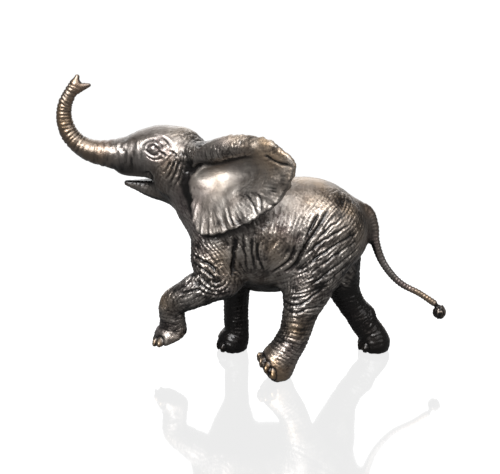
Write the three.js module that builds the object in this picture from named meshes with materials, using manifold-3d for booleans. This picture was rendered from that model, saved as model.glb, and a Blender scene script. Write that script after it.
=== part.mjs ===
// A small bronze of an African elephant calf at a trot: trunk thrown up, ears spread, left forefoot lifted.
// Millimetres, +Z up. The calf heads along -X, so its left side faces -Y. The floor is the plane Z = 0.
//
// The whole calf is one casting. Its skin is one blended surface: limbs are round tubes swept along curves
// through the joints of the skeleton, ears are cupped sheets, and the larger folds are grooves pressed in.
// The surface is traced on a grid, thinned, and cut flat under the soles with a boolean.
import * as THREE from "three";
import { mergeVertices } from "three/addons/utils/BufferGeometryUtils.js";
import Module from "manifold-3d";

// ---------------------------------------------------------------------------------------------------
// Driving dimensions
// ---------------------------------------------------------------------------------------------------

const BRONZE = { color: 0x3a2c22, roughness: 0.36, metalness: 1.0 };
const CENTRE = { x: 2.6, y: -4.1 }; // middle of the footprint box before it is moved to the origin
const GRID_STEP = 1.15;
const SKIN_TRIANGLES = 9400;
const STEPS_PER_STATION = 7; // straight steps that stand for each stretch of a curve

// Stations of each swept form: [x, y, z, radius, width share], where the width share is the half width
// across Y divided by the radius. y is measured outwards from the middle plane on the named side.
const TORSO = [
  [-24.0, 0, 82.4, 9.4, 1.0],
  [-18.2, 0, 74.0, 14.5, 0.84],
  [-9.6, 0, 65.0, 18.6, 0.83],
  [2.0, 0, 54.9, 23.3, 0.82],
  [13.0, 0, 53.4, 23.0, 0.84],
  [22.6, 0, 54.8, 21.4, 0.84],
  [29.6, 0, 54.6, 17.4, 0.92],
];
const SKULL = [
  [-28.0, 0, 86.0, 10.4, 1.0],
  [-33.4, 0, 86.9, 9.8, 1.0],
  [-38.7, 0, 87.0, 8.2, 1.0],
];
const TRUNK = [
  [-36.0, 0, 86.2, 8.8],
  [-42.6, 0, 85.5, 8.0, 0.92],
  [-49.6, 0, 85.6, 6.4, 0.94],
  [-56.1, 0, 85.9, 5.2, 0.96],
  [-61.9, 0, 87.1, 4.4],
  [-66.5, 0, 89.8, 3.8],
  [-69.9, 0, 94.0, 3.5],
  [-71.4, 0, 99.6, 3.1],
  [-70.7, 0, 105.0, 2.8],
  [-68.4, 0, 109.5, 2.5],
  [-66.6, 0, 112.2, 2.3],
];
const TRUNK_FINGERS = [
  [[-66.8, 0, 110.8, 2.1], [-65.6, 0, 115.3, 0.95]],
  [[-65.6, 0, 111.2, 2.1], [-61.2, 0, 112.1, 0.75]],
];
const NOSTRIL = [[-62.8, 0, 115.8, 0.95], [-65.9, 0, 110.8, 0.57]];
const LOWER_JAW = [
  [-28.0, 0, 74.4, 8.6, 0.76],
  [-34.4, 0, 73.0, 6.1, 0.85],
  [-41.0, 0, 73.0, 3.4, 1.05],
  [-48.2, 0, 74.2, 1.25, 1.1],
];
const UPPER_LIP = { at: [-43.6, 0, 79.5], radii: [7.6, 5.4, 2.6], pitch: 0.06 };
const CHEEK = { at: [-29.4, 5.2, 78.0], radii: [8.6, 5.8, 8.4] };
const MOUTH = { at: [-45.2, 0, 76.4], radii: [9.0, 8.4, 0.85], pitch: -0.03 };
const EYE = { at: [-35.7, 8.9, 88.5], radius: 1.6 };
const BROW = { at: [-35.3, 8.3, 90.6], radii: [3.3, 1.7, 1.4], pitch: 0.25 };
const TAIL = [
  [39.4, 0, 64.0, 3.4],
  [45.6, 0, 62.6, 2.8],
  [48.6, 0, 57.0, 2.2],
  [49.7, 0, 50.0, 1.9],
  [53.3, 0, 41.2, 1.6],
  [60.0, 0, 33.3, 1.45],
  [68.2, 0, 28.7, 1.35],
  [74.8, 0, 24.2, 1.45],
];
const TAIL_TUFT = { at: [76.7, 0, 20.7], radii: [2.9, 2.6, 3.3] };

// Legs run from the body down to the sole. side is -1 for the left legs, +1 for the right. down points out
// of the sole and forward to the toes; a planted sole is cut by the floor, a lifted one by its own plane.
const LEGS = [
  { // left hind, coming down on its heel
    side: -1,
    stations: [
      [29.4, 6.5, 57.4, 14.6, 0.74],
      [26.6, 9.6, 47.4, 13.0, 0.74],
      [22.2, 12.8, 35.4, 9.8, 0.8],
      [19.3, 14.8, 26.0, 7.1],
      [17.1, 16.0, 17.4, 6.4],
      [13.4, 17.0, 10.8, 6.6],
      [8.8, 17.5, 4.5, 7.1],
    ],
    sole: { at: [6.8, 17.5, 2.4], down: [-0.69, 0, -0.72], radius: 6.5, forward: [-0.72, 0.1, 0.69] },
  },
  { // right hind, pushing off behind
    side: 1,
    stations: [
      [28.6, 6.5, 55.0, 14.6, 0.74],
      [34.6, 9.0, 41.6, 10.8, 0.8],
      [38.6, 10.4, 27.8, 7.0, 0.92],
      [42.5, 11.0, 19.4, 5.8],
      [46.9, 11.0, 12.4, 5.5],
      [51.0, 11.0, 7.2, 6.0],
      [52.2, 11.0, 3.2, 6.9],
    ],
    sole: { at: [52.2, 11.0, 0], down: [0, 0, -1], radius: 6.1, forward: [-1, 0.1, 0], planted: true },
  },
  { // left fore, lifted
    side: -1,
    stations: [
      [-8.2, 8.5, 56.6, 14.6, 0.68],
      [-11.6, 11.0, 47.0, 11.8, 0.74],
      [-13.2, 12.8, 39.2, 8.6, 0.86],
      [-22.8, 12.0, 33.0, 6.7],
      [-30.2, 10.2, 28.0, 5.6],
      [-31.0, 9.2, 21.4, 5.3],
      [-30.9, 8.6, 16.2, 5.9],
      [-31.9, 8.5, 12.9, 7.0],
    ],
    sole: { at: [-31.6, 8.5, 12.1], down: [0.37, 0, -0.93], radius: 6.7, forward: [-0.93, 0.1, -0.37] },
  },
  { // right fore, upright under the shoulder
    side: 1,
    stations: [
      [-8.0, 8.5, 52.0, 15.0, 0.68],
      [-7.2, 10.6, 37.0, 9.8, 0.76],
      [-6.1, 11.2, 24.6, 5.9],
      [-6.0, 11.4, 14.4, 5.5],
      [-6.0, 11.4, 7.6, 5.6],
      [-7.5, 11.4, 3.4, 6.8],
    ],
    sole: { at: [-7.5, 11.4, 0], down: [0, 0, -1], radius: 6.0, forward: [-1, 0.1, 0], planted: true },
  },
];
// Lumps that stand out of the tubes: the heel pad that the left hind foot lands on, elbow and hock.
const HEEL = { at: [11.4, -17.6, 4.0], radius: 5.3 };
const ELBOW = { at: [-9.8, -13.2, 38.4], radius: 6.4 };
const HOCK = { at: [47.9, 11.0, 15.6], radius: 4.3 };
const NAIL = { count: 4, spread: 0.56, radii: [1.0, 1.75, 1.5], height: 1.6 };
const FLOOR_BLOCK = [400, 400, 40];

// Ears: cupped sheets. u runs from the root out to the tip, v upwards, and w stands out of the hollow side.
const EAR_THICKNESS = 2.1;
const EAR_SLOPE = 0.8; // cosine of the sheet's usual lean to its own plane
const EAR_RIM = [
  [-2.3, -4.7], [-0.7, -11], [1.2, -17], [4.3, -21.4], [9, -22], [16, -20.3], [25.6, -15.9], [34, -9.4],
  [40.4, -1.7], [43, 5.7], [41.4, 10], [35, 14], [27, 16], [16, 15.6], [8, 13], [1, 7],
];
const EAR_BOX = [-4, -24, -8, 45, 17, 14]; // what an ear takes up in its own u, v and w
const EAR_BOWL = { at: [18, 2.4], reach: [12.5, 6.6], depth: 6, tilt: 0.14, steepness: 1.5 };
const EAR_FLARE = { from: -6, gain: 0.4, base: 2 };
const EAR_CURL = { from: 11, gain: 0.07 };
const EAR_PLEATS = { count: 30, height: 0.55, hub: [4, 0], clear: 17, fade: 7, top: 12, ease: 4 };
const LEFT_EAR = { side: -1, hub: [-19.5, 11.0, 81.0], sweep: 0.56, droop: 0 };
const RIGHT_EAR = { side: 1, hub: [-19.0, 10.5, 75.0], sweep: 0.348, droop: 0.42 };
const EAR_ROOT = [
  [-20.6, 8.0, 86.6, 5.2],
  [-13.4, 13.2, 89.0, 4.2],
  [-6.0, 18.4, 91.0, 3.1],
  [0.5, 22.4, 92.4, 2.0],
];

// How softly each form runs into what is already there, as the width of the blend.
const BLEND = {
  cheek: 5, trunk: 4, lip: 2, finger: 1.2, brow: 1.2, eye: 0.5, mouth: 0.8, nostril: 0.6,
  head: 4, leg: 3.5, heel: 3, elbow: 3, hock: 4, tail: 3, tuft: 0.8, nail: 0.7, sole: 1.6,
  earRoot: 3, ear: 2.2, earEdge: 1.6,
};

// Folds deep enough to read from a step away: lines drawn on one flank as [x, z], pressed into the skin
// further out than FOLD_FROM. A fold has died away at FOLD_END times its width.
const FOLD_FROM = 4;
const FOLD_END = 3;
const FOLDS = [
  { side: -1, width: 1.3, depth: 0.9, line: [[26.0, 69], [20.0, 57], [14.0, 46], [9.5, 38]] },
  { side: -1, width: 1.0, depth: 0.6, line: [[4.4, 57], [1.6, 49], [1.0, 40]] },
  { side: -1, width: 1.0, depth: 0.6, line: [[-0.8, 55], [-3.0, 47], [-3.0, 38]] },
  { side: -1, width: 0.9, depth: 0.5, line: [[11.0, 32.6], [17.0, 30.6], [24.0, 34.0]] },
  { side: -1, width: 0.9, depth: 0.5, line: [[11.0, 35.6], [17.5, 33.8], [26.0, 38.6]] },
  { side: -1, width: 1.1, depth: 0.7, line: [[-28.0, 35.0], [-22.6, 35.4], [-17.0, 38.6]] },
  { side: -1, width: 1.0, depth: 0.6, line: [[-17.6, 49.0], [-10.6, 44.6], [-4.0, 46.6]] },
];

// ---------------------------------------------------------------------------------------------------
// Fields: functions of a point that are negative inside a form and about its distance outside
// ---------------------------------------------------------------------------------------------------

const REACH = 9; // beyond this distance from its box a form only needs a rough value
// Numbers kept for each straight piece: start, radius and share, how far each runs, and the squared length.
const PIECE_NUMBERS = 11;

function smoothUnion(a, b, blend) {
  const h = Math.max(blend - Math.abs(a - b), 0) / blend;
  return Math.min(a, b) - (h * h * blend) / 4;
}

// What two forms share; with the second negated, the first with the second cut out of it.
function smoothOverlap(a, b, blend) {
  return -smoothUnion(-a, -b, blend);
}

function length(x, y, z) {
  return Math.sqrt(x * x + y * y + z * z);
}

function boxGap(box, x, y, z) {
  return length(
    Math.max(box[0] - x, x - box[3], 0),
    Math.max(box[1] - y, y - box[4], 0),
    Math.max(box[2] - z, z - box[5], 0));
}

// Samples of a smooth curve through the stations, with radius and width share eased along it.
function sweepSamples(stations) {
  const spline = (rows) => new THREE.CatmullRomCurve3(rows, false, "catmullrom", 0.5);
  const path = spline(stations.map(([x, y, z]) => new THREE.Vector3(x, y, z)));
  const girth = spline(stations.map(([, , , radius = 0, share = 1]) => new THREE.Vector3(radius, share, 0)));
  const steps = (stations.length - 1) * STEPS_PER_STATION;
  return Array.from({ length: steps + 1 }, (_, i) => {
    const p = path.getPoint(i / steps);
    const g = girth.getPoint(i / steps);
    return [p.x, p.y, p.z, g.x, g.y];
  });
}

function tube(stations) {
  const samples = sweepSamples(stations);
  const box = [0, 1, 2].map((k) => Math.min(...samples.map((s) => s[k] - s[3])))
    .concat([0, 1, 2].map((k) => Math.max(...samples.map((s) => s[k] + s[3]))));
  const pieces = samples.slice(1).map((b, i) => {
    const a = samples[i];
    const step = b.map((v, k) => v - a[k]);
    return [...a, ...step, step[0] ** 2 + step[1] ** 2 + step[2] ** 2];
  });
  const data = new Float64Array(pieces.flat());
  return (x, y, z) => {
    const gap = boxGap(box, x, y, z);
    if (gap > REACH) return gap;
    let nearest = Infinity;
    for (let i = 0; i < data.length; i += PIECE_NUMBERS) {
      const dx = x - data[i];
      const dy = y - data[i + 1];
      const dz = z - data[i + 2];
      const along = (dx * data[i + 5] + dy * data[i + 6] + dz * data[i + 7]) / data[i + 10];
      const t = Math.min(Math.max(along, 0), 1);
      const across = (dy - t * data[i + 6]) / (data[i + 4] + t * data[i + 9]);
      const radius = data[i + 3] + t * data[i + 8];
      nearest = Math.min(nearest, length(dx - t * data[i + 5], across, dz - t * data[i + 7]) - radius);
    }
    return nearest;
  };
}

function ellipsoid(at, radii, pitch = 0) {
  const c = Math.cos(pitch);
  const s = Math.sin(pitch);
  const mean = Math.min(...radii);
  return (x, y, z) => {
    const dx = x - at[0];
    const dz = z - at[2];
    const k = length((c * dx + s * dz) / radii[0], (y - at[1]) / radii[1], (c * dz - s * dx) / radii[2]);
    return (k - 1) * mean;
  };
}

function ball({ at, radius }) {
  return (x, y, z) => length(x - at[0], y - at[1], z - at[2]) - radius;
}

function plane(at, normal) {
  return (x, y, z) => (x - at[0]) * normal[0] + (y - at[1]) * normal[1] + (z - at[2]) * normal[2];
}

// ---------------------------------------------------------------------------------------------------
// Ears
// ---------------------------------------------------------------------------------------------------

const rimCurve = new THREE.CatmullRomCurve3(
  EAR_RIM.map(([u, v]) => new THREE.Vector3(u, v, 0)), true, "catmullrom", 0.5);
const rimPoints = rimCurve.getPoints(EAR_RIM.length * STEPS_PER_STATION);

// Distance to the rim in the ear's own plane, negative inside the outline.
function rimDistance(u, v) {
  let nearest = Infinity;
  let inside = false;
  for (let i = 1; i < rimPoints.length; i++) {
    const a = rimPoints[i - 1];
    const b = rimPoints[i];
    const ex = b.x - a.x;
    const ey = b.y - a.y;
    const t = Math.min(Math.max(((u - a.x) * ex + (v - a.y) * ey) / (ex * ex + ey * ey), 0), 1);
    nearest = Math.min(nearest, length(u - a.x - t * ex, v - a.y - t * ey, 0));
    if (a.y > v !== b.y > v && u < a.x + (ex * (v - a.y)) / ey) inside = !inside;
  }
  return inside ? -nearest : nearest;
}

// Height of the sheet's middle over its plane: flared below, hollowed into a bowl, curled back on top.
function earHeight(u, v, edge) {
  const { at, reach, depth, tilt, steepness } = EAR_BOWL;
  const du = u - at[0];
  const dv = v - at[1] - tilt * du;
  const bowl = Math.exp(-(((du / reach[0]) ** 2 + (dv / reach[1]) ** 2) ** steepness));
  const flare = EAR_FLARE.gain * Math.max(EAR_FLARE.from - v, 0);
  const curl = EAR_CURL.gain * Math.max(v - EAR_CURL.from, 0) ** 2;
  return EAR_FLARE.base + flare - depth * bowl - curl + earPleat(u, v, edge);
}

// Ripples that fan out from the root, strongest at the rim and gone in the bowl and along the top.
function earPleat(u, v, edge) {
  const { count, height, hub, clear, fade, top, ease } = EAR_PLEATS;
  const across = u - hub[0];
  const up = v - hub[1];
  const outward = Math.min((across * across + up * up) / clear ** 2, 1);
  const below = Math.min(Math.max((top - v) / ease, 0), 1);
  return height * outward * below * Math.exp(edge / fade) * Math.sin(Math.atan2(up, across) * count);
}

function ear({ side, hub, sweep, droop }) {
  const c = Math.cos(sweep);
  const s = Math.sin(sweep);
  const cd = Math.cos(droop);
  const sd = Math.sin(droop);
  return (x, y, z) => {
    const dx = x - hub[0];
    const dy = side * y - hub[1];
    const dz = z - hub[2];
    const across = c * dx + s * dy;
    const u = cd * across - sd * dz;
    const v = sd * across + cd * dz;
    const w = c * dy - s * dx;
    const gap = boxGap(EAR_BOX, u, v, w);
    if (gap > REACH) return gap;
    const edge = rimDistance(u, v);
    const sheet = Math.abs(w - earHeight(u, v, Math.min(edge, 0))) * EAR_SLOPE - EAR_THICKNESS / 2;
    return smoothOverlap(sheet, edge, BLEND.earEdge);
  };
}

// ---------------------------------------------------------------------------------------------------
// Feet
// ---------------------------------------------------------------------------------------------------

function leg({ side, stations, sole }) {
  const upright = (p) => [p[0], side * p[1], p[2]];
  const shaft = tube(stations.map(([x, y, z, radius, share = 1]) => [x, side * y, z, radius, share]));
  const at = upright(sole.at);
  const cut = plane(at, upright(sole.down));
  const nails = nailCentres(at, upright(sole.down), upright(sole.forward), sole.radius)
    .map((nail) => ellipsoid(nail, NAIL.radii));
  return (x, y, z) => {
    let d = shaft(x, y, z);
    if (d > REACH) return d;
    for (const nail of nails) d = smoothUnion(d, nail(x, y, z), BLEND.nail);
    return sole.planted ? d : smoothOverlap(d, cut(x, y, z), BLEND.sole);
  };
}

// Nails sit on the front of the foot, fanned about its axis just above the sole.
function nailCentres(at, down, forward, radius) {
  const axis = new THREE.Vector3(...down).normalize().negate();
  const ahead = new THREE.Vector3(...forward).normalize();
  const aside = new THREE.Vector3().crossVectors(axis, ahead);
  return Array.from({ length: NAIL.count }, (_, i) => {
    const angle = (i - (NAIL.count - 1) / 2) * NAIL.spread;
    const centre = new THREE.Vector3(...at)
      .addScaledVector(ahead, radius * Math.cos(angle))
      .addScaledVector(aside, radius * Math.sin(angle))
      .addScaledVector(axis, NAIL.height);
    return centre.toArray();
  });
}

// How far a fold presses the skin in at a point; the line is drawn square on to the flank.
function fold({ side, width, depth, line }) {
  const distance = tube(line.map(([x, z]) => [x, 0, z]));
  return (x, y, z) => {
    if (side * y < FOLD_FROM) return 0;
    const away = distance(x, 0, z) / width;
    return away > FOLD_END ? 0 : depth * Math.exp(-away * away);
  };
}

// ---------------------------------------------------------------------------------------------------
// The calf
// ---------------------------------------------------------------------------------------------------

const torso = tube(TORSO);
const skull = tube(SKULL);
const trunk = tube(TRUNK);
const fingers = TRUNK_FINGERS.map(tube);
const nostril = tube(NOSTRIL);
const jaw = tube(LOWER_JAW);
const upperLip = ellipsoid(UPPER_LIP.at, UPPER_LIP.radii, UPPER_LIP.pitch);
const cheek = ellipsoid(CHEEK.at, CHEEK.radii);
const mouth = ellipsoid(MOUTH.at, MOUTH.radii, MOUTH.pitch);
const eyeball = ball(EYE);
const brow = ellipsoid(BROW.at, BROW.radii, BROW.pitch);
const tail = tube(TAIL);
const tuft = ellipsoid(TAIL_TUFT.at, TAIL_TUFT.radii);
const heel = ball(HEEL);
const elbow = ball(ELBOW);
const hock = ball(HOCK);
const legs = LEGS.map(leg);
const ears = [LEFT_EAR, RIGHT_EAR].map(ear);
const earRoot = tube(EAR_ROOT);
const folds = FOLDS.map(fold);

function head(x, y, z) {
  const side = Math.abs(y);
  let d = smoothUnion(skull(x, y, z), cheek(x, side, z), BLEND.cheek);
  d = smoothUnion(d, trunk(x, y, z), BLEND.trunk);
  d = smoothUnion(d, upperLip(x, y, z), BLEND.lip);
  d = smoothUnion(d, jaw(x, y, z), BLEND.lip);
  for (const finger of fingers) d = smoothUnion(d, finger(x, y, z), BLEND.finger);
  d = smoothUnion(d, brow(x, side, z), BLEND.brow);
  d = smoothUnion(d, eyeball(x, side, z), BLEND.eye);
  d = smoothOverlap(d, -mouth(x, y, z), BLEND.mouth);
  return smoothOverlap(d, -nostril(x, y, z), BLEND.nostril);
}

function calf(x, y, z) {
  let d = smoothUnion(torso(x, y, z), head(x, y, z), BLEND.head);
  for (const limb of legs) d = smoothUnion(d, limb(x, y, z), BLEND.leg);
  d = smoothUnion(d, heel(x, y, z), BLEND.heel);
  d = smoothUnion(d, elbow(x, y, z), BLEND.elbow);
  d = smoothUnion(d, hock(x, y, z), BLEND.hock);
  d = smoothUnion(d, tail(x, y, z), BLEND.tail);
  d = smoothUnion(d, tuft(x, y, z), BLEND.tuft);
  for (const press of folds) d += press(x, y, z);
  d = smoothUnion(d, earRoot(x, -y, z), BLEND.earRoot);
  for (const sheet of ears) d = smoothUnion(d, sheet(x, y, z), BLEND.ear);
  return d;
}

// ---------------------------------------------------------------------------------------------------
// Tracing the surface: each cube of a grid is split into six tetrahedra, so the skin closes everywhere
// ---------------------------------------------------------------------------------------------------

const BLOCK = 8; // cubes along the side of a block that is skipped when the skin is far from it
const STEEPEST = 1.5; // the most that a field may change in a millimetre
const CORNER_GAP = 0.02; // share of a grid edge kept clear between a vertex and the edge's ends
const SLOPE_STEP = 0.03; // how far apart two samples of the field are when its slope is taken
const LEAST_SLOPE = 0.2; // squared slope under which a vertex moves no further than this allows
const SETTLE_ROUNDS = 3;
const AXIS_ORDERS = [[1, 2, 4], [1, 4, 2], [2, 1, 4], [2, 4, 1], [4, 1, 2], [4, 2, 1]];

function sampleGrid(field, low, high, step) {
  const size = low.map((v, k) => Math.ceil((high[k] - v) / step / BLOCK) * BLOCK + 1);
  const values = new Float32Array(size[0] * size[1] * size[2]);
  const point = (i, j, k) => [low[0] + i * step, low[1] + j * step, low[2] + k * step];
  const half = BLOCK / 2;
  const diagonal = Math.hypot(half, half, half) * step * STEEPEST;
  for (let k = 0; k < size[2]; k += BLOCK)
    for (let j = 0; j < size[1]; j += BLOCK)
      for (let i = 0; i < size[0]; i += BLOCK) {
        const middle = field(...point(i + half, j + half, k + half));
        const far = Math.abs(middle) > diagonal;
        for (let c = k; c < Math.min(k + BLOCK, size[2]); c++)
          for (let b = j; b < Math.min(j + BLOCK, size[1]); b++)
            for (let a = i; a < Math.min(i + BLOCK, size[0]); a++)
              values[a + size[0] * (b + size[1] * c)] = far ? middle : field(...point(a, b, c));
      }
  return { size, values, point };
}

function traceSkin(field, low, high, step) {
  const { size, values, point } = sampleGrid(field, low, high, step);
  const positions = [];
  const triangles = [];
  const made = new Map();
  const corner = (base, bits) =>
    base + (bits & 1) + (bits & 2 ? size[0] : 0) + (bits & 4 ? size[0] * size[1] : 0);
  const place = (index) => point(
    index % size[0], Math.floor(index / size[0]) % size[1], Math.floor(index / (size[0] * size[1])));

  const crossing = (one, other) => {
    const a = Math.min(one, other);
    const b = Math.max(one, other);
    const key = a * values.length + b;
    if (!made.has(key)) {
      const t = Math.min(Math.max(values[a] / (values[a] - values[b]), CORNER_GAP), 1 - CORNER_GAP);
      const p = place(a);
      const q = place(b);
      made.set(key, positions.length);
      positions.push(p.map((v, k) => v + t * (q[k] - v)));
    }
    return made.get(key);
  };
  const middle = (ids) => [0, 1, 2].map((k) => ids.reduce((sum, id) => sum + place(id)[k], 0) / ids.length);
  const addFace = (edges, inside, outside) => {
    const [a, b, c] = edges.map((pair) => middle(pair));
    const from = middle(inside);
    const to = middle(outside);
    const e = a.map((v, k) => b[k] - v);
    const f = a.map((v, k) => c[k] - v);
    const out = (e[1] * f[2] - e[2] * f[1]) * (to[0] - from[0])
      + (e[2] * f[0] - e[0] * f[2]) * (to[1] - from[1])
      + (e[0] * f[1] - e[1] * f[0]) * (to[2] - from[2]);
    const ids = edges.map((pair) => crossing(...pair));
    triangles.push(out > 0 ? ids : [ids[0], ids[2], ids[1]]);
  };

  for (let k = 0; k < size[2] - 1; k++)
    for (let j = 0; j < size[1] - 1; j++)
      for (let i = 0; i < size[0] - 1; i++) {
        const base = i + size[0] * (j + size[1] * k);
        let below = 0;
        for (let bits = 0; bits < 8; bits++) below += values[corner(base, bits)] < 0 ? 1 : 0;
        if (below === 0 || below === 8) continue;
        for (const [first, second] of AXIS_ORDERS) {
          const ids = [0, first, first + second, 7].map((bits) => corner(base, bits));
          const inside = ids.filter((id) => values[id] < 0);
          const outside = ids.filter((id) => values[id] >= 0);
          if (inside.length === 1)
            addFace(outside.map((id) => [inside[0], id]), inside, outside);
          if (inside.length === 3)
            addFace(inside.map((id) => [id, outside[0]]), inside, outside);
          if (inside.length === 2) {
            const [p, q] = inside;
            const [r, s] = outside;
            addFace([[p, r], [p, s], [q, s]], inside, outside);
            addFace([[p, r], [q, s], [q, r]], inside, outside);
          }
        }
      }
  return { positions, triangles };
}

// Moves each vertex along the field's slope until it lies on the skin.
function settle(field, positions, step) {
  for (const p of positions)
    for (let round = 0; round < SETTLE_ROUNDS; round++) {
      const d = field(...p);
      const slope = [0, 1, 2].map((k) => {
        const q = [...p];
        q[k] += SLOPE_STEP;
        return (field(...q) - d) / SLOPE_STEP;
      });
      const steep = slope[0] ** 2 + slope[1] ** 2 + slope[2] ** 2;
      const move = Math.max(Math.min(d / Math.max(steep, LEAST_SLOPE), step / 2), -step / 2);
      for (let k = 0; k < 3; k++) p[k] -= move * slope[k];
    }
}

// ---------------------------------------------------------------------------------------------------
// Thinning the triangles: the edge whose loss bends the skin least goes first
// ---------------------------------------------------------------------------------------------------

const SHORT_EDGE_WEIGHT = 2e-4; // a little preference for short edges keeps flat stretches even
const LEAST_TURN = 0.35; // cosine of the most that a face may turn when an edge goes
const FLATTEST = 1e-3; // share of a full corner's determinant under which faces count as flat
const FARTHEST = 1.5; // how far from an edge's middle its new point may lie, in lengths of the edge

function faceNormal(a, b, c) {
  const e = [b[0] - a[0], b[1] - a[1], b[2] - a[2]];
  const f = [c[0] - a[0], c[1] - a[1], c[2] - a[2]];
  return [e[1] * f[2] - e[2] * f[1], e[2] * f[0] - e[0] * f[2], e[0] * f[1] - e[1] * f[0]];
}

// The symmetric matrix that measures squared distance to a face's plane, as its ten numbers.
function planeQuadric(a, b, c) {
  const n = faceNormal(a, b, c);
  const size = Math.hypot(...n) || 1;
  const [x, y, z] = n.map((v) => v / size);
  const w = -(x * a[0] + y * a[1] + z * a[2]);
  return [x * x, x * y, x * z, x * w, y * y, y * z, y * w, z * z, z * w, w * w].map((v) => v * size);
}

function quadricError(q, [x, y, z]) {
  return q[0] * x * x + 2 * q[1] * x * y + 2 * q[2] * x * z + 2 * q[3] * x
    + q[4] * y * y + 2 * q[5] * y * z + 2 * q[6] * y + q[7] * z * z + 2 * q[8] * z + q[9];
}

// The point of least error, or the edge's middle where the faces are too flat to say.
function bestPoint(q, a, b) {
  const middle = a.map((v, k) => (v + b[k]) / 2);
  const [m00, m01, m02, v0, m11, m12, v1, m22, v2] = q;
  const det = m00 * (m11 * m22 - m12 * m12) - m01 * (m01 * m22 - m12 * m02) + m02 * (m01 * m12 - m11 * m02);
  const spread = (m00 + m11 + m22) / 3;
  if (Math.abs(det) < FLATTEST * spread ** 3) return middle;
  const x = -(v0 * (m11 * m22 - m12 * m12) - m01 * (v1 * m22 - m12 * v2) + m02 * (v1 * m12 - m11 * v2)) / det;
  const y = -(m00 * (v1 * m22 - v2 * m12) - v0 * (m01 * m22 - m12 * m02) + m02 * (m01 * v2 - v1 * m02)) / det;
  const z = -(m00 * (m11 * v2 - m12 * v1) - m01 * (m01 * v2 - v1 * m02) + v0 * (m01 * m12 - m11 * m02)) / det;
  const best = [x, y, z];
  const edge = Math.hypot(...a.map((v, k) => v - b[k]));
  return Math.hypot(...best.map((v, k) => v - middle[k])) < edge * FARTHEST ? best : middle;
}

class Heap {
  items = [];

  push(item) {
    const a = this.items;
    let i = a.push(item) - 1;
    while (i > 0) {
      const up = (i - 1) >> 1;
      if (a[up].cost <= item.cost) break;
      a[i] = a[up];
      i = up;
    }
    a[i] = item;
  }

  pop() {
    const a = this.items;
    const top = a[0];
    const last = a.pop();
    if (a.length === 0) return top;
    let i = 0;
    for (;;) {
      let down = 2 * i + 1;
      if (down >= a.length) break;
      if (down + 1 < a.length && a[down + 1].cost < a[down].cost) down++;
      if (a[down].cost >= last.cost) break;
      a[i] = a[down];
      i = down;
    }
    a[i] = last;
    return top;
  }
}

function thin({ positions, triangles }, target) {
  const faces = triangles.map((t) => [...t]);
  const around = positions.map(() => new Set());
  const quadrics = positions.map(() => new Array(10).fill(0));
  const stamps = new Uint32Array(positions.length);
  faces.forEach((f, id) => {
    const q = planeQuadric(...f.map((v) => positions[v]));
    for (const v of f) {
      around[v].add(id);
      for (let k = 0; k < 10; k++) quadrics[v][k] += q[k];
    }
  });
  const neighbours = (v) => {
    const found = new Set();
    for (const id of around[v]) for (const w of faces[id]) if (w !== v) found.add(w);
    return found;
  };
  const heap = new Heap();
  const consider = (u, v) => {
    const q = quadrics[u].map((value, k) => value + quadrics[v][k]);
    const at = bestPoint(q, positions[u], positions[v]);
    const edge = Math.hypot(...positions[u].map((value, k) => value - positions[v][k]));
    const cost = Math.max(quadricError(q, at), 0) + SHORT_EDGE_WEIGHT * edge ** 4;
    heap.push({ cost, u, v, at, q, stamp: stamps[u] + stamps[v] });
  };
  const turnsOver = (v, gone, at) => {
    for (const id of around[v]) {
      if (faces[id].includes(gone)) continue;
      const before = faceNormal(...faces[id].map((w) => positions[w]));
      const after = faceNormal(...faces[id].map((w) => (w === v ? at : positions[w])));
      const dot = before[0] * after[0] + before[1] * after[1] + before[2] * after[2];
      if (dot <= LEAST_TURN * Math.hypot(...before) * Math.hypot(...after)) return true;
    }
    return false;
  };

  faces.forEach(([a, b, c]) => [[a, b], [b, c], [c, a]].forEach(([u, v]) => u < v && consider(u, v)));
  let left = faces.length;
  while (left > target && heap.items.length) {
    const { u, v, at, q, stamp } = heap.pop();
    if (!around[u].size || !around[v].size || stamp !== stamps[u] + stamps[v]) continue;
    const nearU = neighbours(u);
    if (!nearU.has(v)) continue;
    const shared = [...neighbours(v)].filter((w) => nearU.has(w));
    if (shared.length !== 2 || turnsOver(u, v, at) || turnsOver(v, u, at)) continue;
    positions[u] = at;
    quadrics[u] = q;
    for (const id of around[v]) {
      if (faces[id].includes(u)) {
        for (const w of faces[id]) if (w !== v) around[w].delete(id);
        faces[id] = null;
        left--;
      } else {
        faces[id] = faces[id].map((w) => (w === v ? u : w));
        around[u].add(id);
      }
    }
    around[v].clear();
    stamps[u]++;
    for (const w of neighbours(u)) consider(Math.min(u, w), Math.max(u, w));
  }
  const kept = faces.filter(Boolean);
  const used = [...new Set(kept.flat())];
  const number = new Map(used.map((v, i) => [v, i]));
  return {
    positions: used.map((v) => positions[v]),
    triangles: kept.map((f) => f.map((v) => number.get(v))),
  };
}

// ---------------------------------------------------------------------------------------------------
// The casting: traced, thinned, and stood on flat soles
// ---------------------------------------------------------------------------------------------------

const ROOM = { low: [-82, -44, -4], high: [84, 40, 122] }; // two corners that hold the whole calf

const wasm = await Module();
wasm.setup();

function solid(positions, triangles) {
  return new wasm.Manifold(new wasm.Mesh({
    numProp: 3,
    vertProperties: new Float32Array(positions.flat()),
    triVerts: new Uint32Array(triangles.flat()),
  }));
}

function solidOfGeometry(geometry) {
  geometry.deleteAttribute("normal");
  geometry.deleteAttribute("uv");
  const merged = mergeVertices(geometry);
  return new wasm.Manifold(new wasm.Mesh({
    numProp: 3,
    vertProperties: merged.attributes.position.array,
    triVerts: new Uint32Array(merged.index.array),
  }));
}

const skin = traceSkin(calf, ROOM.low, ROOM.high, GRID_STEP);
settle(calf, skin.positions, GRID_STEP);
const light = thin(skin, SKIN_TRIANGLES);
const floor = new THREE.BoxGeometry(...FLOOR_BLOCK).translate(0, 0, -FLOOR_BLOCK[2] / 2);
const cast = solid(light.positions, light.triangles).subtract(solidOfGeometry(floor));

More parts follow.
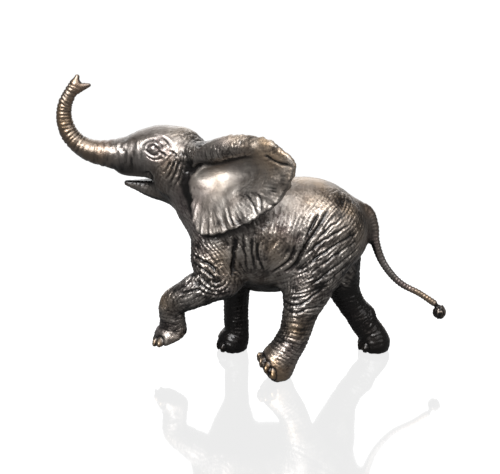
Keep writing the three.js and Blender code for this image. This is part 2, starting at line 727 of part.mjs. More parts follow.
const { vertProperties, triVerts } = cast.getMesh();
const geometry = new THREE.BufferGeometry()
  .setAttribute("position", new THREE.BufferAttribute(new Float32Array(vertProperties), 3))
  .setIndex(new THREE.BufferAttribute(triVerts, 1));
geometry.translate(-CENTRE.x, -CENTRE.y, 0);
geometry.computeVertexNormals();

const elephant = new THREE.Mesh(geometry, new THREE.MeshStandardMaterial(BRONZE));
elephant.name = "elephant";

const sculpture = new THREE.Group();
sculpture.add(elephant);
export default sculpture;
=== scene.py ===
import bpy
import numpy as np
from mathutils import Euler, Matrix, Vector


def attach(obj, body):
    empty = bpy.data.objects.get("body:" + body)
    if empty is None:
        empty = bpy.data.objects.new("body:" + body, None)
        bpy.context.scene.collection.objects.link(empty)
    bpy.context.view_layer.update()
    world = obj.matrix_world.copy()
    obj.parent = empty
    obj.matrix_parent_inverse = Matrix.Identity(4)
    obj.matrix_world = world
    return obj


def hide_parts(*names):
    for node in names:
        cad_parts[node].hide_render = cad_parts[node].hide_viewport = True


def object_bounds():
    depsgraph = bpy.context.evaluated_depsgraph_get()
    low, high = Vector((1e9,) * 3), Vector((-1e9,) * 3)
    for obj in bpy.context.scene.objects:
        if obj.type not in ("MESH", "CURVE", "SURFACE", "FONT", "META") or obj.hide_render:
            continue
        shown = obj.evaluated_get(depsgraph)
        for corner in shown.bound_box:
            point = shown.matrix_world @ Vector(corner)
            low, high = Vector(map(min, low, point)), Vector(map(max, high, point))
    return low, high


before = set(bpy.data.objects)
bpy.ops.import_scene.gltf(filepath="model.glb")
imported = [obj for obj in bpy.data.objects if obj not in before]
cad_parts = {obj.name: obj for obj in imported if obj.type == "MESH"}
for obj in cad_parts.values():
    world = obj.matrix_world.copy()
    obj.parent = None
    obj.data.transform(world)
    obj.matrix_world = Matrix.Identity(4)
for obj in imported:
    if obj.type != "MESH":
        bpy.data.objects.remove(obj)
cad_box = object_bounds()

# ---------------------------------------------------------------------------------------------------
# Body: the barrel of the calf, first form of the wax that the casting was made from. It is one tube
# swept from the withers to the rump along a curve through stations [x, y, z, radius, width share], in
# millimetres, with the head towards -X and the floor at Z = 0. The other forms are melted into it.
# ---------------------------------------------------------------------------------------------------

BODY = [
    [-24.0, 0, 82.4, 9.4, 1.0],
    [-18.2, 0, 74.0, 14.5, 0.84],
    [-9.6, 0, 65.0, 18.6, 0.83],
    [2.0, 0, 54.9, 23.3, 0.82],
    [13.0, 0, 53.4, 23.0, 0.84],
    [22.6, 0, 54.8, 21.4, 0.84],
    [29.6, 0, 54.6, 17.4, 0.92],
]
STEPS = 6  # straight steps that stand for each stretch of a curve
REACH = 7.0  # beyond this distance from its box a form only needs a rough value


def smooth_curve(rows):
    """Points of a smooth curve through the rows."""
    rows = np.array(rows, float)
    ends = np.vstack([2 * rows[0] - rows[1], rows, 2 * rows[-1] - rows[-2]])
    t = np.arange(STEPS)[:, None] / STEPS
    parts = [
        b + 0.5 * t * ((c - a) + t * (2 * a - 5 * b + 4 * c - d + t * (3 * b - a - 3 * c + d)))
        for a, b, c, d in zip(ends, ends[1:], ends[2:], ends[3:])
    ]
    return np.vstack(parts + [rows[-1:]])


def spine_of(stations, side=1):
    """A form's curve as rows of x, y, z, radius and width share, on the named side of the middle plane."""
    rows = smooth_curve([list(row) + [1.0] * (5 - len(row)) for row in stations])
    rows[:, 1] *= side
    return rows


def nearest_on(spine, p):
    """Distance to the tube's skin, the nearest step of its curve, and the share of that step passed."""
    best = np.full(len(p), np.inf)
    where = np.zeros(len(p), np.int32)
    share_of_step = np.zeros(len(p))
    for i in range(len(spine) - 1):
        a = spine[i]
        step = spine[i + 1] - a
        rel = p - a[:3]
        t = np.clip(rel @ (step[:3] / (step[:3] @ step[:3])), 0, 1)
        dx = rel[:, 0] - t * step[0]
        dy = (rel[:, 1] - t * step[1]) / (a[4] + t * step[4])
        dz = rel[:, 2] - t * step[2]
        d = np.sqrt(dx * dx + dy * dy + dz * dz) - (a[3] + t * step[3])
        nearer = d < best
        best = np.where(nearer, d, best)
        where = np.where(nearer, i, where)
        share_of_step = np.where(nearer, t, share_of_step)
    return best, where, share_of_step


def box_gap(p, low, high):
    return np.sqrt((np.maximum(np.maximum(low - p, p - high), 0) ** 2).sum(1))


def near_only(low, high, exact):
    """A field that is worked out exactly only for points near the form's box."""
    def field(p):
        d = box_gap(p, low, high)
        near = d < REACH
        if near.any():
            d[near] = exact(p[near])
        return d
    return field


def tube(stations, side=1):
    spine = spine_of(stations, side)
    low = (spine[:, :3] - spine[:, 3:4]).min(0)
    high = (spine[:, :3] + spine[:, 3:4]).max(0)
    return near_only(low, high, lambda p: nearest_on(spine, p)[0])


def ellipsoid(at, radii, pitch=0.0):
    at, radii = np.array(at, float), np.array(radii, float)
    c, s = np.cos(pitch), np.sin(pitch)

    def field(p):
        d = p - at
        x = (c * d[:, 0] + s * d[:, 2]) / radii[0]
        z = (c * d[:, 2] - s * d[:, 0]) / radii[2]
        return (np.sqrt(x * x + (d[:, 1] / radii[1]) ** 2 + z * z) - 1) * radii.min()
    return field


def melt(a, b, blend):
    """Joins two fields with a soft seam as wide as the blend."""
    h = np.maximum(blend - np.abs(a - b), 0) / blend
    return np.minimum(a, b) - h * h * blend / 4


def overlap(a, b, blend):
    """What two fields share; with the second negated, the first with the second cut out of it."""
    return -melt(-a, -b, blend)


body = tube(BODY)

# ---------------------------------------------------------------------------------------------------
# Head and trunk: skull, cheeks, open mouth and the trunk thrown up in an S, all modelled in the same wax.
# The trunk ends in two pointed fingers round the nostrils, and the eye sits deep between folded lids.
# ---------------------------------------------------------------------------------------------------

SKULL = [
    [-28.0, 0, 86.0, 10.4],
    [-33.4, 0, 86.9, 9.8],
    [-38.7, 0, 87.0, 8.2],
]
TRUNK = [
    [-36.0, 0, 86.2, 8.8],
    [-42.6, 0, 85.5, 8.0, 0.92],
    [-49.6, 0, 85.6, 6.4, 0.94],
    [-56.1, 0, 85.9, 5.2, 0.96],
    [-61.9, 0, 87.1, 4.4],
    [-66.5, 0, 89.8, 3.8],
    [-69.9, 0, 94.0, 3.5],
    [-71.4, 0, 99.6, 3.1],
    [-70.7, 0, 105.0, 2.8],
    [-68.4, 0, 109.5, 2.5],
    [-66.6, 0, 112.2, 2.3],
]
TRUNK_FINGERS = [
    [[-66.8, 0, 110.8, 2.1], [-65.6, 0, 115.3, 0.95]],
    [[-65.6, 0, 111.2, 2.1], [-61.2, 0, 112.1, 0.75]],
]
NOSTRIL = [[-62.8, 0, 115.8, 0.95], [-65.9, 0, 110.8, 0.57]]
LOWER_JAW = [
    [-28.0, 0, 74.4, 8.6, 0.76],
    [-34.4, 0, 73.0, 6.1, 0.85],
    [-41.0, 0, 73.0, 3.4, 1.05],
    [-48.2, 0, 74.2, 1.25, 1.1],
]
UPPER_LIP = {"at": [-43.6, 0, 79.5], "radii": [7.6, 5.4, 2.6], "pitch": 0.06}
CHEEK = {"at": [-29.4, 5.2, 78.0], "radii": [8.6, 5.8, 8.4]}
MOUTH = {"at": [-45.2, 0, 76.4], "radii": [9.0, 8.4, 0.85], "pitch": -0.03}
EYE = {"at": [-36.7, 8.7, 88.9], "radii": [1.6, 1.5, 1.15]}
BROW = {"at": [-35.3, 8.3, 90.6], "radii": [3.3, 1.7, 1.4], "pitch": 0.25}
HEAD_SEAMS = {  # how wide a soft seam joins each form to the skull, or cuts it out
    "cheek": 5, "trunk": 4, "upper lip": 2, "jaw": 2, "finger": 1.2, "brow": 1.2, "eye": 0.5, "mouth": 0.8,
    "nostril": 0.6,
}
HEAD_BOX = np.array([-80.0, -18, 60]), np.array([-14.0, 18, 120])

skull = tube(SKULL)
trunk = tube(TRUNK)
fingers = [tube(rows) for rows in TRUNK_FINGERS]
nostril = tube(NOSTRIL)
jaw = tube(LOWER_JAW)
upper_lip = ellipsoid(**UPPER_LIP)
cheek = ellipsoid(**CHEEK)
mouth = ellipsoid(**MOUTH)
eyeball = ellipsoid(**EYE)
brow = ellipsoid(**BROW)


def head_field(p):
    folded = p * [1, 0, 1] + np.abs(p) * [0, 1, 0]
    d = melt(skull(p), cheek(folded), HEAD_SEAMS["cheek"])
    d = melt(d, trunk(p), HEAD_SEAMS["trunk"])
    d = melt(d, upper_lip(p), HEAD_SEAMS["upper lip"])
    d = melt(d, jaw(p), HEAD_SEAMS["jaw"])
    for finger in fingers:
        d = melt(d, finger(p), HEAD_SEAMS["finger"])
    d = melt(d, brow(folded), HEAD_SEAMS["brow"])
    d = melt(d, eyeball(folded), HEAD_SEAMS["eye"])
    d = overlap(d, -mouth(p), HEAD_SEAMS["mouth"])
    return overlap(d, -nostril(p), HEAD_SEAMS["nostril"])


head = near_only(*HEAD_BOX, head_field)

# ---------------------------------------------------------------------------------------------------
# Legs and feet: four round columns on their way through a trot. The left hind foot lands on its heel,
# the left forefoot is lifted, and the right feet stand flat. Each foot has four nails on its front.
# ---------------------------------------------------------------------------------------------------

LEFT, RIGHT = -1, 1
LEGS = {
    "left_hind": {
        "side": LEFT,
        "stations": [
            [29.4, 6.5, 57.4, 14.6, 0.74],
            [26.6, 9.6, 47.4, 13.0, 0.74],
            [22.2, 12.8, 35.4, 9.8, 0.8],
            [19.3, 14.8, 26.0, 7.1],
            [17.1, 16.0, 17.4, 6.4],
            [13.4, 17.0, 10.8, 6.6],
            [8.8, 17.5, 4.5, 7.1],
        ],
        "sole": {"at": [6.8, 17.5, 2.4], "down": [-0.69, 0, -0.72], "radius": 6.5,
                 "forward": [-0.5, 0.7, 0.5]},
        "planted": False,
    },
    "right_hind": {
        "side": RIGHT,
        "stations": [
            [28.6, 6.5, 55.0, 14.6, 0.74],
            [34.6, 9.0, 41.6, 10.8, 0.8],
            [38.6, 10.4, 27.8, 7.0, 0.92],
            [42.5, 11.0, 19.4, 5.8],
            [46.9, 11.0, 12.4, 5.5],
            [51.0, 11.0, 7.2, 6.0],
            [52.2, 11.0, 3.2, 6.9],
        ],
        "sole": {"at": [52.2, 11.0, 0], "down": [0, 0, -1], "radius": 6.1, "forward": [-1, 0.1, 0]},
        "planted": True,
    },
    "left_fore": {
        "side": LEFT,
        "stations": [
            [-8.2, 8.5, 56.6, 14.6, 0.68],
            [-11.6, 11.0, 47.0, 11.8, 0.74],
            [-13.2, 12.8, 39.2, 8.6, 0.86],
            [-22.8, 12.0, 33.0, 6.7],
            [-30.2, 10.2, 28.0, 5.6],
            [-31.0, 9.2, 21.4, 5.3],
            [-30.9, 8.6, 16.2, 5.9],
            [-31.9, 8.5, 12.9, 7.0],
        ],
        "sole": {"at": [-31.6, 8.5, 12.1], "down": [0.37, 0, -0.93], "radius": 6.7,
                 "forward": [-0.93, 0.1, -0.37]},
        "planted": False,
    },
    "right_fore": {
        "side": RIGHT,
        "stations": [
            [-8.0, 8.5, 52.0, 15.0, 0.68],
            [-7.2, 10.6, 37.0, 9.8, 0.76],
            [-6.1, 11.2, 24.6, 5.9],
            [-6.0, 11.4, 14.4, 5.5],
            [-6.0, 11.4, 7.6, 5.6],
            [-7.5, 11.4, 3.4, 6.8],
        ],
        "sole": {"at": [-7.5, 11.4, 0], "down": [0, 0, -1], "radius": 6.0, "forward": [-1, 0.1, 0]},
        "planted": True,
    },
}
LUMPS = [  # heel pad, elbow and hock: centre, radius and blend
    ([11.4, -17.6, 4.0], 5.3, 3),
    ([-9.8, -13.2, 38.4], 6.4, 3),
    ([47.9, 11.0, 15.6], 4.3, 4),
]
NAIL = {"count": 4, "spread": 0.56, "radii": [1.1, 2.0, 1.9], "height": 1.9, "seam": 0.7}
SOLE_EDGE = 1.6  # how softly a lifted foot is cut off at its sole


def nail_centres(sole, side):
    """Centres of the nails, fanned about the front of the foot just above its sole."""
    flip = np.array([1, side, 1])
    up = -np.array(sole["down"], float) * flip
    up /= np.linalg.norm(up)
    ahead = np.array(sole["forward"], float) * flip
    ahead /= np.linalg.norm(ahead)
    aside = np.cross(up, ahead)
    for i in range(NAIL["count"]):
        angle = (i - (NAIL["count"] - 1) / 2) * NAIL["spread"]
        round_the_foot = np.cos(angle) * ahead + np.sin(angle) * aside
        yield sole["at"] * flip + sole["radius"] * round_the_foot + NAIL["height"] * up


def leg_field(leg):
    shaft = tube(leg["stations"], leg["side"])
    flip = np.array([1, leg["side"], 1])
    at = leg["sole"]["at"] * flip
    down = leg["sole"]["down"] * flip
    nails = [ellipsoid(centre, NAIL["radii"]) for centre in nail_centres(leg["sole"], leg["side"])]

    def field(p):
        d = shaft(p)
        near = d < REACH
        foot = d[near]
        for nail in nails:
            foot = melt(foot, nail(p[near]), NAIL["seam"])
        if not leg["planted"]:
            foot = overlap(foot, (p[near] - at) @ down, SOLE_EDGE)
        d[near] = foot
        return d
    return field


legs = {name: leg_field(leg) for name, leg in LEGS.items()}
lumps = [(ellipsoid(at, [radius] * 3), blend) for at, radius, blend in LUMPS]

# ---------------------------------------------------------------------------------------------------
# Tail: a thin whip kicked out behind, with a ball of hair at its end. It is cast solid with the rest,
# since a hollow one would be too weak to stand free.
# ---------------------------------------------------------------------------------------------------

TAIL = [
    [39.4, 0, 64.0, 3.4],
    [45.6, 0, 62.6, 2.8],
    [48.6, 0, 57.0, 2.2],
    [49.7, 0, 50.0, 1.9],
    [53.3, 0, 41.2, 1.6],
    [60.0, 0, 33.3, 1.45],
    [68.2, 0, 28.7, 1.35],
    [74.8, 0, 24.2, 1.45],
]
TAIL_TUFT = {"at": [76.7, 0, 20.7], "radii": [2.9, 2.6, 3.3]}

tail = tube(TAIL)
tuft = ellipsoid(**TAIL_TUFT)

# ---------------------------------------------------------------------------------------------------
# Ears: two cupped sheets of bronze, spread wide. Each is hollowed into a bowl behind the cheek, curled
# back along its top and pleated towards the rim, and a wrinkled roll of skin ties the left one to the head.
# ---------------------------------------------------------------------------------------------------

EAR_THICKNESS = 2.1
EAR_SLOPE = 0.8  # cosine of the sheet's usual lean to its own plane
EAR_RIM = [
    [-2.3, -4.7], [-0.7, -11], [1.2, -17], [4.3, -21.4], [9, -22], [16, -20.3], [25.6, -15.9], [34, -9.4],
    [40.4, -1.7], [43, 5.7], [41.4, 10], [35, 14], [27, 16], [16, 15.6], [8, 13], [1, 7],
]
EAR_BOX = np.array([-4.0, -24, -8]), np.array([45.0, 17, 14])
EAR_BOWL = {"at": [18, 2.4], "reach": [12.5, 6.6], "depth": 6, "tilt": 0.14, "steepness": 1.5}
EAR_FLARE = {"from": -6, "gain": 0.4, "base": 2}
EAR_CURL = {"from": 11, "gain": 0.07}
EAR_PLEATS = {
    "count": 21, "height": 0.5, "hub": [4, 0], "clear": 17, "fade": 5, "top": 12, "ease": 4,
    "fine count": 47, "fine height": 0.35, "fine drift": 1.3,
}
EAR_MIDDLE = 16
EAR_RIM_WAVES = [(0.16, 19, 2.4, 7), (0.1, 41, 1, 5)]  # height, count, drift and count of the drift
EAR_EDGE = 1.6  # how softly the sheet is rounded off at its rim
EARS = {
    "left": {"side": LEFT, "hub": [-19.5, 11.0, 81.0], "sweep": 0.56, "droop": 0.0},
    "right": {"side": RIGHT, "hub": [-19.0, 10.5, 75.0], "sweep": 0.348, "droop": 0.42},
}
EAR_ROOT = [
    [-20.6, 8.0, 86.6, 5.2],
    [-13.4, 14.4, 89.2, 4.3],
    [-6.0, 20.3, 91.0, 3.1],
    [0.5, 24.6, 92.2, 2.1],
]

closed_rim = EAR_RIM[-2:] + EAR_RIM + EAR_RIM[:2]
rim_points = smooth_curve(closed_rim)[2 * STEPS:-STEPS]


def rim_distance(u, v):
    """Distance to the rim in the ear's own plane, negative inside the outline."""
    nearest = np.full(len(u), np.inf)
    inside = np.zeros(len(u), bool)
    for a, b in zip(rim_points, rim_points[1:]):
        e = b - a
        t = np.clip(((u - a[0]) * e[0] + (v - a[1]) * e[1]) / (e @ e), 0, 1)
        nearest = np.minimum(nearest, (u - a[0] - t * e[0]) ** 2 + (v - a[1] - t * e[1]) ** 2)
        if a[1] != b[1]:
            inside ^= ((a[1] > v) != (b[1] > v)) & (u < a[0] + e[0] * (v - a[1]) / e[1])
    return np.where(inside, -1, 1) * np.sqrt(nearest)


def ear_pleat(u, v, edge):
    """Ripples that fan out from the root, strongest at the rim and gone in the bowl and along the top."""
    pl = EAR_PLEATS
    across, up = u - pl["hub"][0], v - pl["hub"][1]
    outward = np.minimum((across ** 2 + up ** 2) / pl["clear"] ** 2, 1)
    below = np.clip((pl["top"] - v) / pl["ease"], 0, 1)
    turn = np.arctan2(up, across)
    drift = 1.5 * np.sin(9.3 * turn + 0.7) + 0.9 * np.sin(15.1 * turn + 0.12 * across)
    swell = 0.72 + 0.28 * np.sin(6.4 * turn + 2.1)
    ripple = np.sin(turn * pl["count"] + drift) * swell
    ripple += pl["fine height"] * np.sin(turn * pl["fine count"] + pl["fine drift"] * drift)
    return pl["height"] * outward * below * np.exp(np.minimum(edge, 0) / pl["fade"]) * ripple


def ear_height(u, v, edge):
    """Height of the sheet's middle over its plane."""
    du = u - EAR_BOWL["at"][0]
    dv = v - EAR_BOWL["at"][1] - EAR_BOWL["tilt"] * du
    spread = (du / EAR_BOWL["reach"][0]) ** 2 + (dv / EAR_BOWL["reach"][1]) ** 2
    bowl = np.exp(-spread ** EAR_BOWL["steepness"])
    flare = EAR_FLARE["gain"] * np.maximum(EAR_FLARE["from"] - v, 0)
    curl = EAR_CURL["gain"] * np.maximum(v - EAR_CURL["from"], 0) ** 2
    return EAR_FLARE["base"] + flare - EAR_BOWL["depth"] * bowl - curl + ear_pleat(u, v, edge)


def ear_place(ear, p):
    """A point in the ear's own u (root to tip), v (up) and w (out of the hollow side)."""
    c, s = np.cos(ear["sweep"]), np.sin(ear["sweep"])
    cd, sd = np.cos(ear["droop"]), np.sin(ear["droop"])
    hub = ear["hub"]
    dx, dy, dz = p[:, 0] - hub[0], ear["side"] * p[:, 1] - hub[1], p[:, 2] - hub[2]
    across = c * dx + s * dy
    return np.stack([cd * across - sd * dz, sd * across + cd * dz, c * dy - s * dx], 1)


def ear_field(ear):
    def sheet(uvw):
        u, v, w = uvw.T
        edge = rim_distance(u, v)
        turn = np.arctan2(v, u - EAR_MIDDLE)
        for height, count, drift, slow_count in EAR_RIM_WAVES:
            edge = edge + height * np.sin(count * turn + drift * np.sin(slow_count * turn))
        middle = np.abs(w - ear_height(u, v, edge)) * EAR_SLOPE - EAR_THICKNESS / 2
        return overlap(middle, edge, EAR_EDGE)
    near = near_only(*EAR_BOX, sheet)
    return lambda p: near(ear_place(ear, p))


ears = {name: ear_field(ear) for name, ear in EARS.items()}
ear_root = tube(EAR_ROOT, LEFT)

# ---------------------------------------------------------------------------------------------------
# Casting: every form melted into one closed skin, as the wax is joined before it is poured in bronze.
# The skin is traced on a grid of 0.4 mm, worked out in full only close to the surface.
# ---------------------------------------------------------------------------------------------------

COARSE_STEP = 3.2
HALVINGS = 3
CLOSE = 1.3  # grid steps from the skin within which the field is worked out exactly
ROOM = np.array([-82.0, -44, -4.8]), np.array([84.0, 40, 122])
SEAMS = {"head": 4, "leg": 3.5, "tail": 3, "tuft": 0.8, "ear root": 2, "ear": 2.2}  # soft seams' widths
MOST_SLIDE = 0.2  # how far a vertex may be moved at once


def calf(p):
    """The whole field, cut off flat at the floor."""
    d = melt(body(p), head(p), SEAMS["head"])
    for limb in legs.values():
        d = melt(d, limb(p), SEAMS["leg"])
    for lump, blend in lumps:
        d = melt(d, lump(p), blend)
    d = melt(d, tail(p), SEAMS["tail"])
    d = melt(d, tuft(p), SEAMS["tuft"])
    d = melt(d, ear_root(p), SEAMS["ear root"])
    for sheet in ears.values():
        d = melt(d, sheet(p), SEAMS["ear"])
    return np.maximum(d, -p[:, 2])


def refined_grid(field):
    """Values of the field on a fine grid, exact near the skin and interpolated elsewhere."""
    step = COARSE_STEP
    size = np.ceil((ROOM[1] - ROOM[0]) / step).astype(int) + 1
    index = np.stack(np.meshgrid(*[np.arange(n) for n in size], indexing="ij"), -1)
    values = field(index.reshape(-1, 3) * step + ROOM[0]).reshape(size).astype(np.float32)
    for _ in range(HALVINGS):
        for axis in range(3):
            values = np.moveaxis(values, axis, 0)
            finer = np.empty((2 * len(values) - 1,) + values.shape[1:], np.float32)
            finer[::2] = values
            finer[1::2] = (values[1:] + values[:-1]) / 2
            values = np.moveaxis(finer, 0, axis)
        close = np.argwhere(np.abs(values) < CLOSE * step)
        step /= 2
        values[tuple(close.T)] = field(close * step + ROOM[0])
    return np.ascontiguousarray(values), step


def trace_skin(values, step):
    """One vertex in each cell that the skin crosses, and one quad across each grid edge it crosses."""
    inside = values < 0
    count = np.zeros(np.array(values.shape) - 1, np.int8)
    corners = [(i, j, k) for i in (0, 1) for j in (0, 1) for k in (0, 1)]
    for i, j, k in corners:
        nx, ny, nz = count.shape
        count += inside[i:nx + i, j:ny + j, k:nz + k]
    cells = np.argwhere((count > 0) & (count < 8))
    number = np.full(count.shape, -1, np.int32)
    number[tuple(cells.T)] = np.arange(len(cells))
    total = np.zeros((len(cells), 3))
    crossings = np.zeros((len(cells), 1))
    for a in corners:
        for axis in range(3):
            if a[axis]:
                continue
            b = np.array(a)
            b[axis] = 1
            va = values[tuple((cells + a).T)]
            vb = values[tuple((cells + b).T)]
            crossed = (va < 0) != (vb < 0)
            t = np.where(crossed, va / np.where(crossed, va - vb, 1), 0)[:, None]
            total += np.where(crossed[:, None], np.array(a) + t * (b - np.array(a)), 0)
            crossings += crossed[:, None]
    positions = (cells + total / crossings) * step + ROOM[0]
    quads = []
    for axis, order in enumerate(([0, 1, 2], [1, 0, 2], [2, 0, 1])):
        lower = np.moveaxis(inside, axis, 0)[:-1]
        upper = np.moveaxis(inside, axis, 0)[1:]
        for leaving in (True, False):
            edges = np.argwhere((lower & ~upper) if leaving else (~lower & upper))
            edges = edges[(edges[:, 1] > 0) & (edges[:, 2] > 0)]
            ring = [(0, -1, -1), (0, 0, -1), (0, 0, 0), (0, -1, 0)]
            cell = np.stack([edges + offset for offset in ring], 1)
            cell = cell[:, :, np.argsort(order)]
            quad = number[tuple(np.moveaxis(cell, 2, 0))]
            quads.append(quad if leaving == (axis != 1) else quad[:, ::-1])
    return positions, np.vstack(quads)


values, fine_step = refined_grid(calf)
positions, quads = trace_skin(values, fine_step)


def grid_value(p):
    """The field at points, read from the grid."""
    at = np.clip((p - ROOM[0]) / fine_step, 0, np.array(values.shape) - 1.001)
    cell = at.astype(int)
    t = at - cell
    total = 0.0
    for i, j, k in np.ndindex(2, 2, 2):
        share = np.abs(1 - i - t[:, 0]) * np.abs(1 - j - t[:, 1]) * np.abs(1 - k - t[:, 2])
        total = total + share * values[cell[:, 0] + i, cell[:, 1] + j, cell[:, 2] + k]
    return total


def normals_of(points, faces):
    """Normals of the vertices, from the quads round them."""
    a, b, c, d = (points[faces[:, k]] for k in range(4))
    face = np.cross(c - a, d - b)
    total = np.zeros_like(points)
    for k in range(4):
        for axis in range(3):
            total[:, axis] += np.bincount(faces[:, k], face[:, axis], len(points))
    return total / np.maximum(np.linalg.norm(total, axis=1), 1e-9)[:, None]


for _ in range(2):  # each vertex slides along its normal until it lies on the skin
    normals = normals_of(positions, quads)
    positions -= normals * np.clip(grid_value(positions), -MOST_SLIDE, MOST_SLIDE)[:, None]
normals = normals_of(positions, quads)

# ---------------------------------------------------------------------------------------------------
# Skin: the wrinkles that the sculptor cut into the wax. Long folds are pressed in one by one, and finer
# creases follow the lie of the hide: rings round trunk, shins and tail, slanting lines over the thighs.
# ---------------------------------------------------------------------------------------------------

# Where along a leg (0 at the top, 1 at the sole) its creases turn, how far in degrees they turn from
# a ring round the leg, and how deep they are.
HIND_CREASES = [[0, 62, 0.9], [0.17, 62, 1], [0.33, 35, 1], [0.46, 12, 0.95], [0.7, 4, 0.9], [0.9, 0, 0.6],
                [1, 0, 0.3]]
FORE_CREASES = {
    "left_fore": [[0, -30, 0.7], [0.14, -40, 0.9], [0.35, -80, 1], [0.5, -85, 0.8], [0.57, -20, 0.9],
                  [0.66, 0, 1], [0.85, 0, 0.8], [1, 0, 0.4]],
    "right_fore": [[0, -30, 0.7], [0.2, -30, 0.8], [0.4, -15, 0.8], [0.6, 0, 0.9], [1, 0, 0.4]],
}
# Lie of the creases on the body and head, seen from the side: x, z, angle above the horizon and depth.
LIE = [
    [-32, 97, 10, 0.3], [-38, 93, 5, 0.4], [-28, 91, 60, 0.6], [-29.5, 82, 58, 0.8], [-40, 82, 50, 0.6],
    [-31, 74, 75, 0.4], [-27, 63, 110, 0.6], [-21, 53, 150, 0.6], [-12, 55, 130, 0.75], [-12, 70, 100, 0.5],
    [1, 51, 95, 0.9], [8, 53, 66, 0.55], [9, 41, 30, 0.65], [19, 58, 64, 0.85], [17, 48, 60, 1.0],
    [33, 67, 32, 0.6], [27, 75, 85, 0.12], [17, 71, 72, 0.45], [5, 76, 90, 0.15], [42, 64, 100, 0.22],
    [44, 52, 80, 0.4], [4, 33, 0, 0.4],
]
LIE_REACH = 6.5
LIMB_ROOM = 16  # how far from a limb's curve a vertex may still belong to it
LEG_PULL, EAR_PULL = 4, 40  # how strongly a leg and an ear turn the lie against the body
EAR_CREASES = {"bowl": 0.14, "rim": 0.4, "from": 10, "to": 24}
ROOT_CREASES = 0.75  # least depth of the creases on the roll of skin at the left ear's root
NOISE_CELLS = 24  # the random values repeat after this many cells


def soft_noise(p, size, seed):
    """Smooth random values from -1 to 1 that change over about the given size."""
    n = NOISE_CELLS
    table = np.random.default_rng(seed).uniform(-1, 1, (n, n, n))
    at = p / size + 1000.0  # far enough out for no negative cells
    cell = np.floor(at).astype(int)
    t = at - cell
    t = t * t * (3 - 2 * t)
    total = 0.0
    for i, j, k in np.ndindex(2, 2, 2):
        share = np.abs(1 - i - t[:, 0]) * np.abs(1 - j - t[:, 1]) * np.abs(1 - k - t[:, 2])
        total = total + share * table[(cell[:, 0] + i) % n, (cell[:, 1] + j) % n, (cell[:, 2] + k) % n]
    return total


def unit(v):
    return v / np.maximum(np.linalg.norm(v, axis=1), 1e-9)[:, None]


def smooth_step(low, high, value):
    t = np.clip((value - low) / (high - low), 0, 1)
    return t * t * (3 - 2 * t)


def lies_on(distance, softness=1.5):
    """How much a vertex belongs to a form whose field has this value there."""
    return np.exp(-np.maximum(distance, 0) / softness)


class Limb:
    """Where each vertex lies along a swept form, and the form's axis there."""

    def __init__(self, stations, side=1):
        spine = spine_of(stations, side)
        low, high = spine[:, :3].min(0) - LIMB_ROOM, spine[:, :3].max(0) + LIMB_ROOM
        near = box_gap(positions, low, high) <= 0
        distance, where, t = nearest_on(spine, positions[near])
        steps = np.diff(spine[:, :3], axis=0)
        lengths = np.linalg.norm(steps, axis=1)
        starts = np.concatenate([[0], np.cumsum(lengths)])
        self.distance = np.full(len(positions), np.inf)
        self.distance[near] = distance
        self.along = np.zeros(len(positions))
        self.along[near] = starts[where] + t * lengths[where]
        self.share = np.zeros(len(positions))
        self.share[near] = (where + t) / len(steps)
        self.axis = np.zeros((len(positions), 3))
        self.axis[near] = steps[where] / lengths[where][:, None]
        self.belongs = lies_on(self.distance)


limbs = {name: Limb(leg["stations"], leg["side"]) for name, leg in LEGS.items()}
on_trunk = Limb(TRUNK)
on_tail = Limb(TAIL)
on_root = Limb(EAR_ROOT, LEFT)
on_head = lies_on(head(positions))
on_body = lies_on(body(positions))
on_ear = {name: lies_on(field(positions), 0.6) for name, field in ears.items()}
ear_share = np.maximum(on_ear["left"], on_ear["right"])

# The lie of the creases is gathered as a sum of doubled angles in each vertex's own tangent plane.
east = unit(np.array([1.0, 0, 0]) - normals * normals[:, :1])
north = np.cross(normals, east)
lie_cos = np.zeros(len(positions))
lie_sin = np.zeros(len(positions))
depth_sum = np.zeros(len(positions))
weight_sum = np.full(len(positions), 1e-6)


def add_lie(direction, weight, depth):
    """Adds a direction to the lie of the creases, and the depth that belongs to it."""
    x = (direction * east).sum(1)
    y = (direction * north).sum(1)
    lie_cos[:] += weight * (x * x - y * y)
    lie_sin[:] += weight * 2 * x * y
    depth_sum[:] += weight * depth
    weight_sum[:] += weight


for x, z, angle, depth in LIE:
    away = ((positions[:, 0] - x) ** 2 + (positions[:, 2] - z) ** 2) / LIE_REACH ** 2
    slant = np.radians(angle)
    direction = np.array([[np.cos(slant), 0, np.sin(slant)]])
    weight = (np.exp(-away) + 1e-4) * np.maximum(on_body, on_head)
    add_lie(direction, weight, depth)
for name, limb in limbs.items():
    turns = np.array(FORE_CREASES.get(name, HIND_CREASES), float)
    turn = -LEGS[name]["side"] * np.radians(np.interp(limb.share, turns[:, 0], turns[:, 1]))
    ring = unit(np.cross(limb.axis, normals))
    lengthwise = np.cross(normals, ring)
    direction = np.cos(turn)[:, None] * ring + np.sin(turn)[:, None] * lengthwise
    add_lie(direction, LEG_PULL * limb.belongs ** 2, np.interp(limb.share, turns[:, 0], turns[:, 2]))
for limb, pull, depth in ((on_trunk, 6, 0.0), (on_tail, 6, 0.0), (on_root, 3, 0.8)):
    ring = unit(np.cross(limb.axis, normals))
    add_lie(ring, pull * limb.belongs ** 2, depth)
for name, ear in EARS.items():
    hub = np.array([ear["hub"][0] + 3, ear["side"] * (ear["hub"][1] + 2), ear["hub"][2]])
    outward = positions - hub
    spread = np.linalg.norm(outward, axis=1)
    radial = unit(outward - normals * (outward * normals).sum(1)[:, None])
    towards_rim = smooth_step(EAR_CREASES["from"], EAR_CREASES["to"], spread)
    depth = EAR_CREASES["bowl"] + EAR_CREASES["rim"] * towards_rim
    add_lie(radial, EAR_PULL * on_ear[name] ** 2, depth)
lie_angle = np.arctan2(lie_sin, lie_cos) / 2
lie = np.cos(lie_angle)[:, None] * east + np.sin(lie_angle)[:, None] * north
crease_depth = depth_sum / weight_sum
